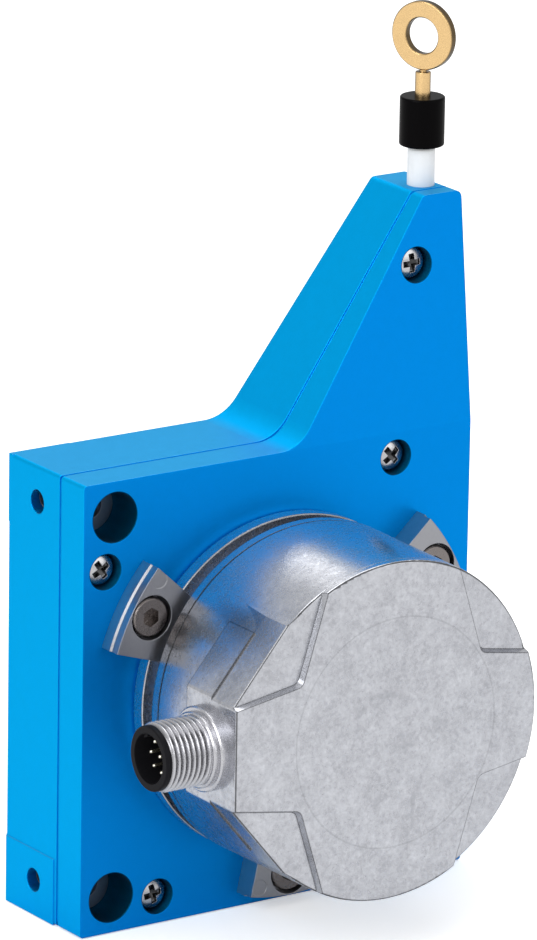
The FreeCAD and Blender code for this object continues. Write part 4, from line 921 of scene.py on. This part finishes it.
class OBJECT_OT_stage(bpy.types.Operator):
    """Set up the floor, the studio light and the camera"""
    bl_idname = "encoder.stage"
    bl_label = "Stage"

    def execute(self, context):
        scene = context.scene
        settings = scene.stage_settings
        points, faces = floor_sheet(FLOOR_WIDTH)
        mesh = bpy.data.meshes.new("floor")
        mesh.from_pydata(points.tolist(), [], faces)
        mesh.materials.append(floor_paint(settings.floor))
        floor = bpy.data.objects.new("floor", mesh)
        scene.collection.objects.link(floor)
        softbox("key_left", (-1.1, -0.5, 0.75), (0.9, 0.9), settings.key_power)
        for lamp in LAMPS:
            softbox(*lamp)
        room_light(scene, settings.world_strength, settings.mirror_strength)
        place_camera(scene)
        return {"FINISHED"}


def floor_paint(colour):
    """Pale floor that shows white to the camera and through clear pieces, apart from the object's shadow."""
    material, tree, shader = start_material("floor_paint", 0.0, 0.9)
    grain = use_group(tree, "grain", Size=0.004)
    colour_between(tree, shader, grain.outputs["Mask"], scaled(colour, 0.99), scaled(colour, 1.01))
    path = add_node(tree, "ShaderNodeLightPath")
    seen = calc(tree, "MAXIMUM", path.outputs["Is Camera Ray"], path.outputs["Is Transmission Ray"])
    shader.inputs["Emission Color"].default_value = (1, 1, 1, 1)
    tree.links.new(calc(tree, "MULTIPLY", seen, FLOOR_LIFT), shader.inputs["Emission Strength"])
    return material


def room_light(scene, strength, mirrored):
    """Even room light, white to the camera and brighter in shiny surfaces than on dull ones."""
    world = bpy.data.worlds.new("room")
    world.use_nodes = True
    tree = world.node_tree
    back = tree.nodes["Background"]
    back.inputs["Color"].default_value = (1, 1, 1, 1)
    path = add_node(tree, "ShaderNodeLightPath")
    seen = calc(tree, "MAXIMUM", path.outputs["Is Camera Ray"], path.outputs["Is Transmission Ray"])
    level = add_node(tree, "ShaderNodeMix", {2: strength, 3: mirrored}, {0: path.outputs["Is Glossy Ray"]})
    full = add_node(tree, "ShaderNodeMix", {3: 1.0}, {0: seen, 2: level.outputs[0]})
    tree.links.new(full.outputs[0], back.inputs["Strength"])
    scene.world = world


def place_camera(scene):
    """Camera from its place, azimuth, elevation and roll."""
    lens = bpy.data.cameras.new("camera")
    lens.lens = CAMERA_LENS
    lens.sensor_width = 36.0
    lens.shift_x, lens.shift_y = CAMERA_SHIFT
    lens.clip_start = 0.05
    lens.clip_end = 50.0
    camera = bpy.data.objects.new("camera", lens)
    scene.collection.objects.link(camera)
    forward = Vector((-math.sin(CAMERA_AZIMUTH) * math.cos(CAMERA_ELEVATION),
                      math.cos(CAMERA_AZIMUTH) * math.cos(CAMERA_ELEVATION), -math.sin(CAMERA_ELEVATION)))
    level = forward.to_track_quat("-Z", "Y").to_matrix().to_4x4()
    camera.matrix_world = Matrix.Translation(CAMERA_PLACE) @ level @ Matrix.Rotation(CAMERA_ROLL, 4, "Z")
    scene.camera = camera


class VIEW3D_PT_encoder(bpy.types.Panel):
    """Buttons of the draw wire encoder"""
    bl_idname = "VIEW3D_PT_encoder"
    bl_label = "Draw wire encoder"
    bl_space_type = "VIEW_3D"
    bl_region_type = "UI"
    bl_category = "Draw wire encoder"

    def draw(self, context):
        for operator in OPERATORS:
            self.layout.operator(operator.bl_idname)
        for name in PROPERTY_NAMES:
            box = self.layout.box()
            group = getattr(context.scene, name)
            for label in group.bl_rna.properties.keys():
                if label not in ("rna_type", "name"):
                    box.prop(group, label)


OPERATORS = (
    OBJECT_OT_finish_solids,
    OBJECT_OT_connector,
    OBJECT_OT_housing_screws,
    OBJECT_OT_pull_wire,
    OBJECT_OT_end_ring,
    OBJECT_OT_stage,
)
PROPERTY_NAMES = {
    "housing_finish": HousingFinish,
    "cast_finish": CastFinish,
    "wire_end_finish": WireEndFinish,
    "connector_sizes": ConnectorSizes,
    "screw_sizes": ScrewSizes,
    "wire_sizes": WireSizes,
    "stage_settings": StageSettings,
}


def register():
    for group in PROPERTY_NAMES.values():
        bpy.utils.register_class(group)
    for operator in OPERATORS:
        bpy.utils.register_class(operator)
    bpy.utils.register_class(VIEW3D_PT_encoder)
    for name, group in PROPERTY_NAMES.items():
        setattr(bpy.types.Scene, name, PointerProperty(type=group))


def unregister():
    for name in PROPERTY_NAMES:
        delattr(bpy.types.Scene, name)
    bpy.utils.unregister_class(VIEW3D_PT_encoder)
    for operator in OPERATORS:
        bpy.utils.unregister_class(operator)
    for group in PROPERTY_NAMES.values():
        bpy.utils.unregister_class(group)


def main():
    register()
    scene = bpy.context.scene
    scene.view_settings.view_transform = "Standard"
    bpy.ops.encoder.finish_solids()
    bpy.ops.encoder.connector()
    bpy.ops.encoder.housing_screws()
    bpy.ops.encoder.pull_wire()
    bpy.ops.encoder.end_ring()
    bpy.ops.encoder.stage()


if __name__ == "__main__":
    main()
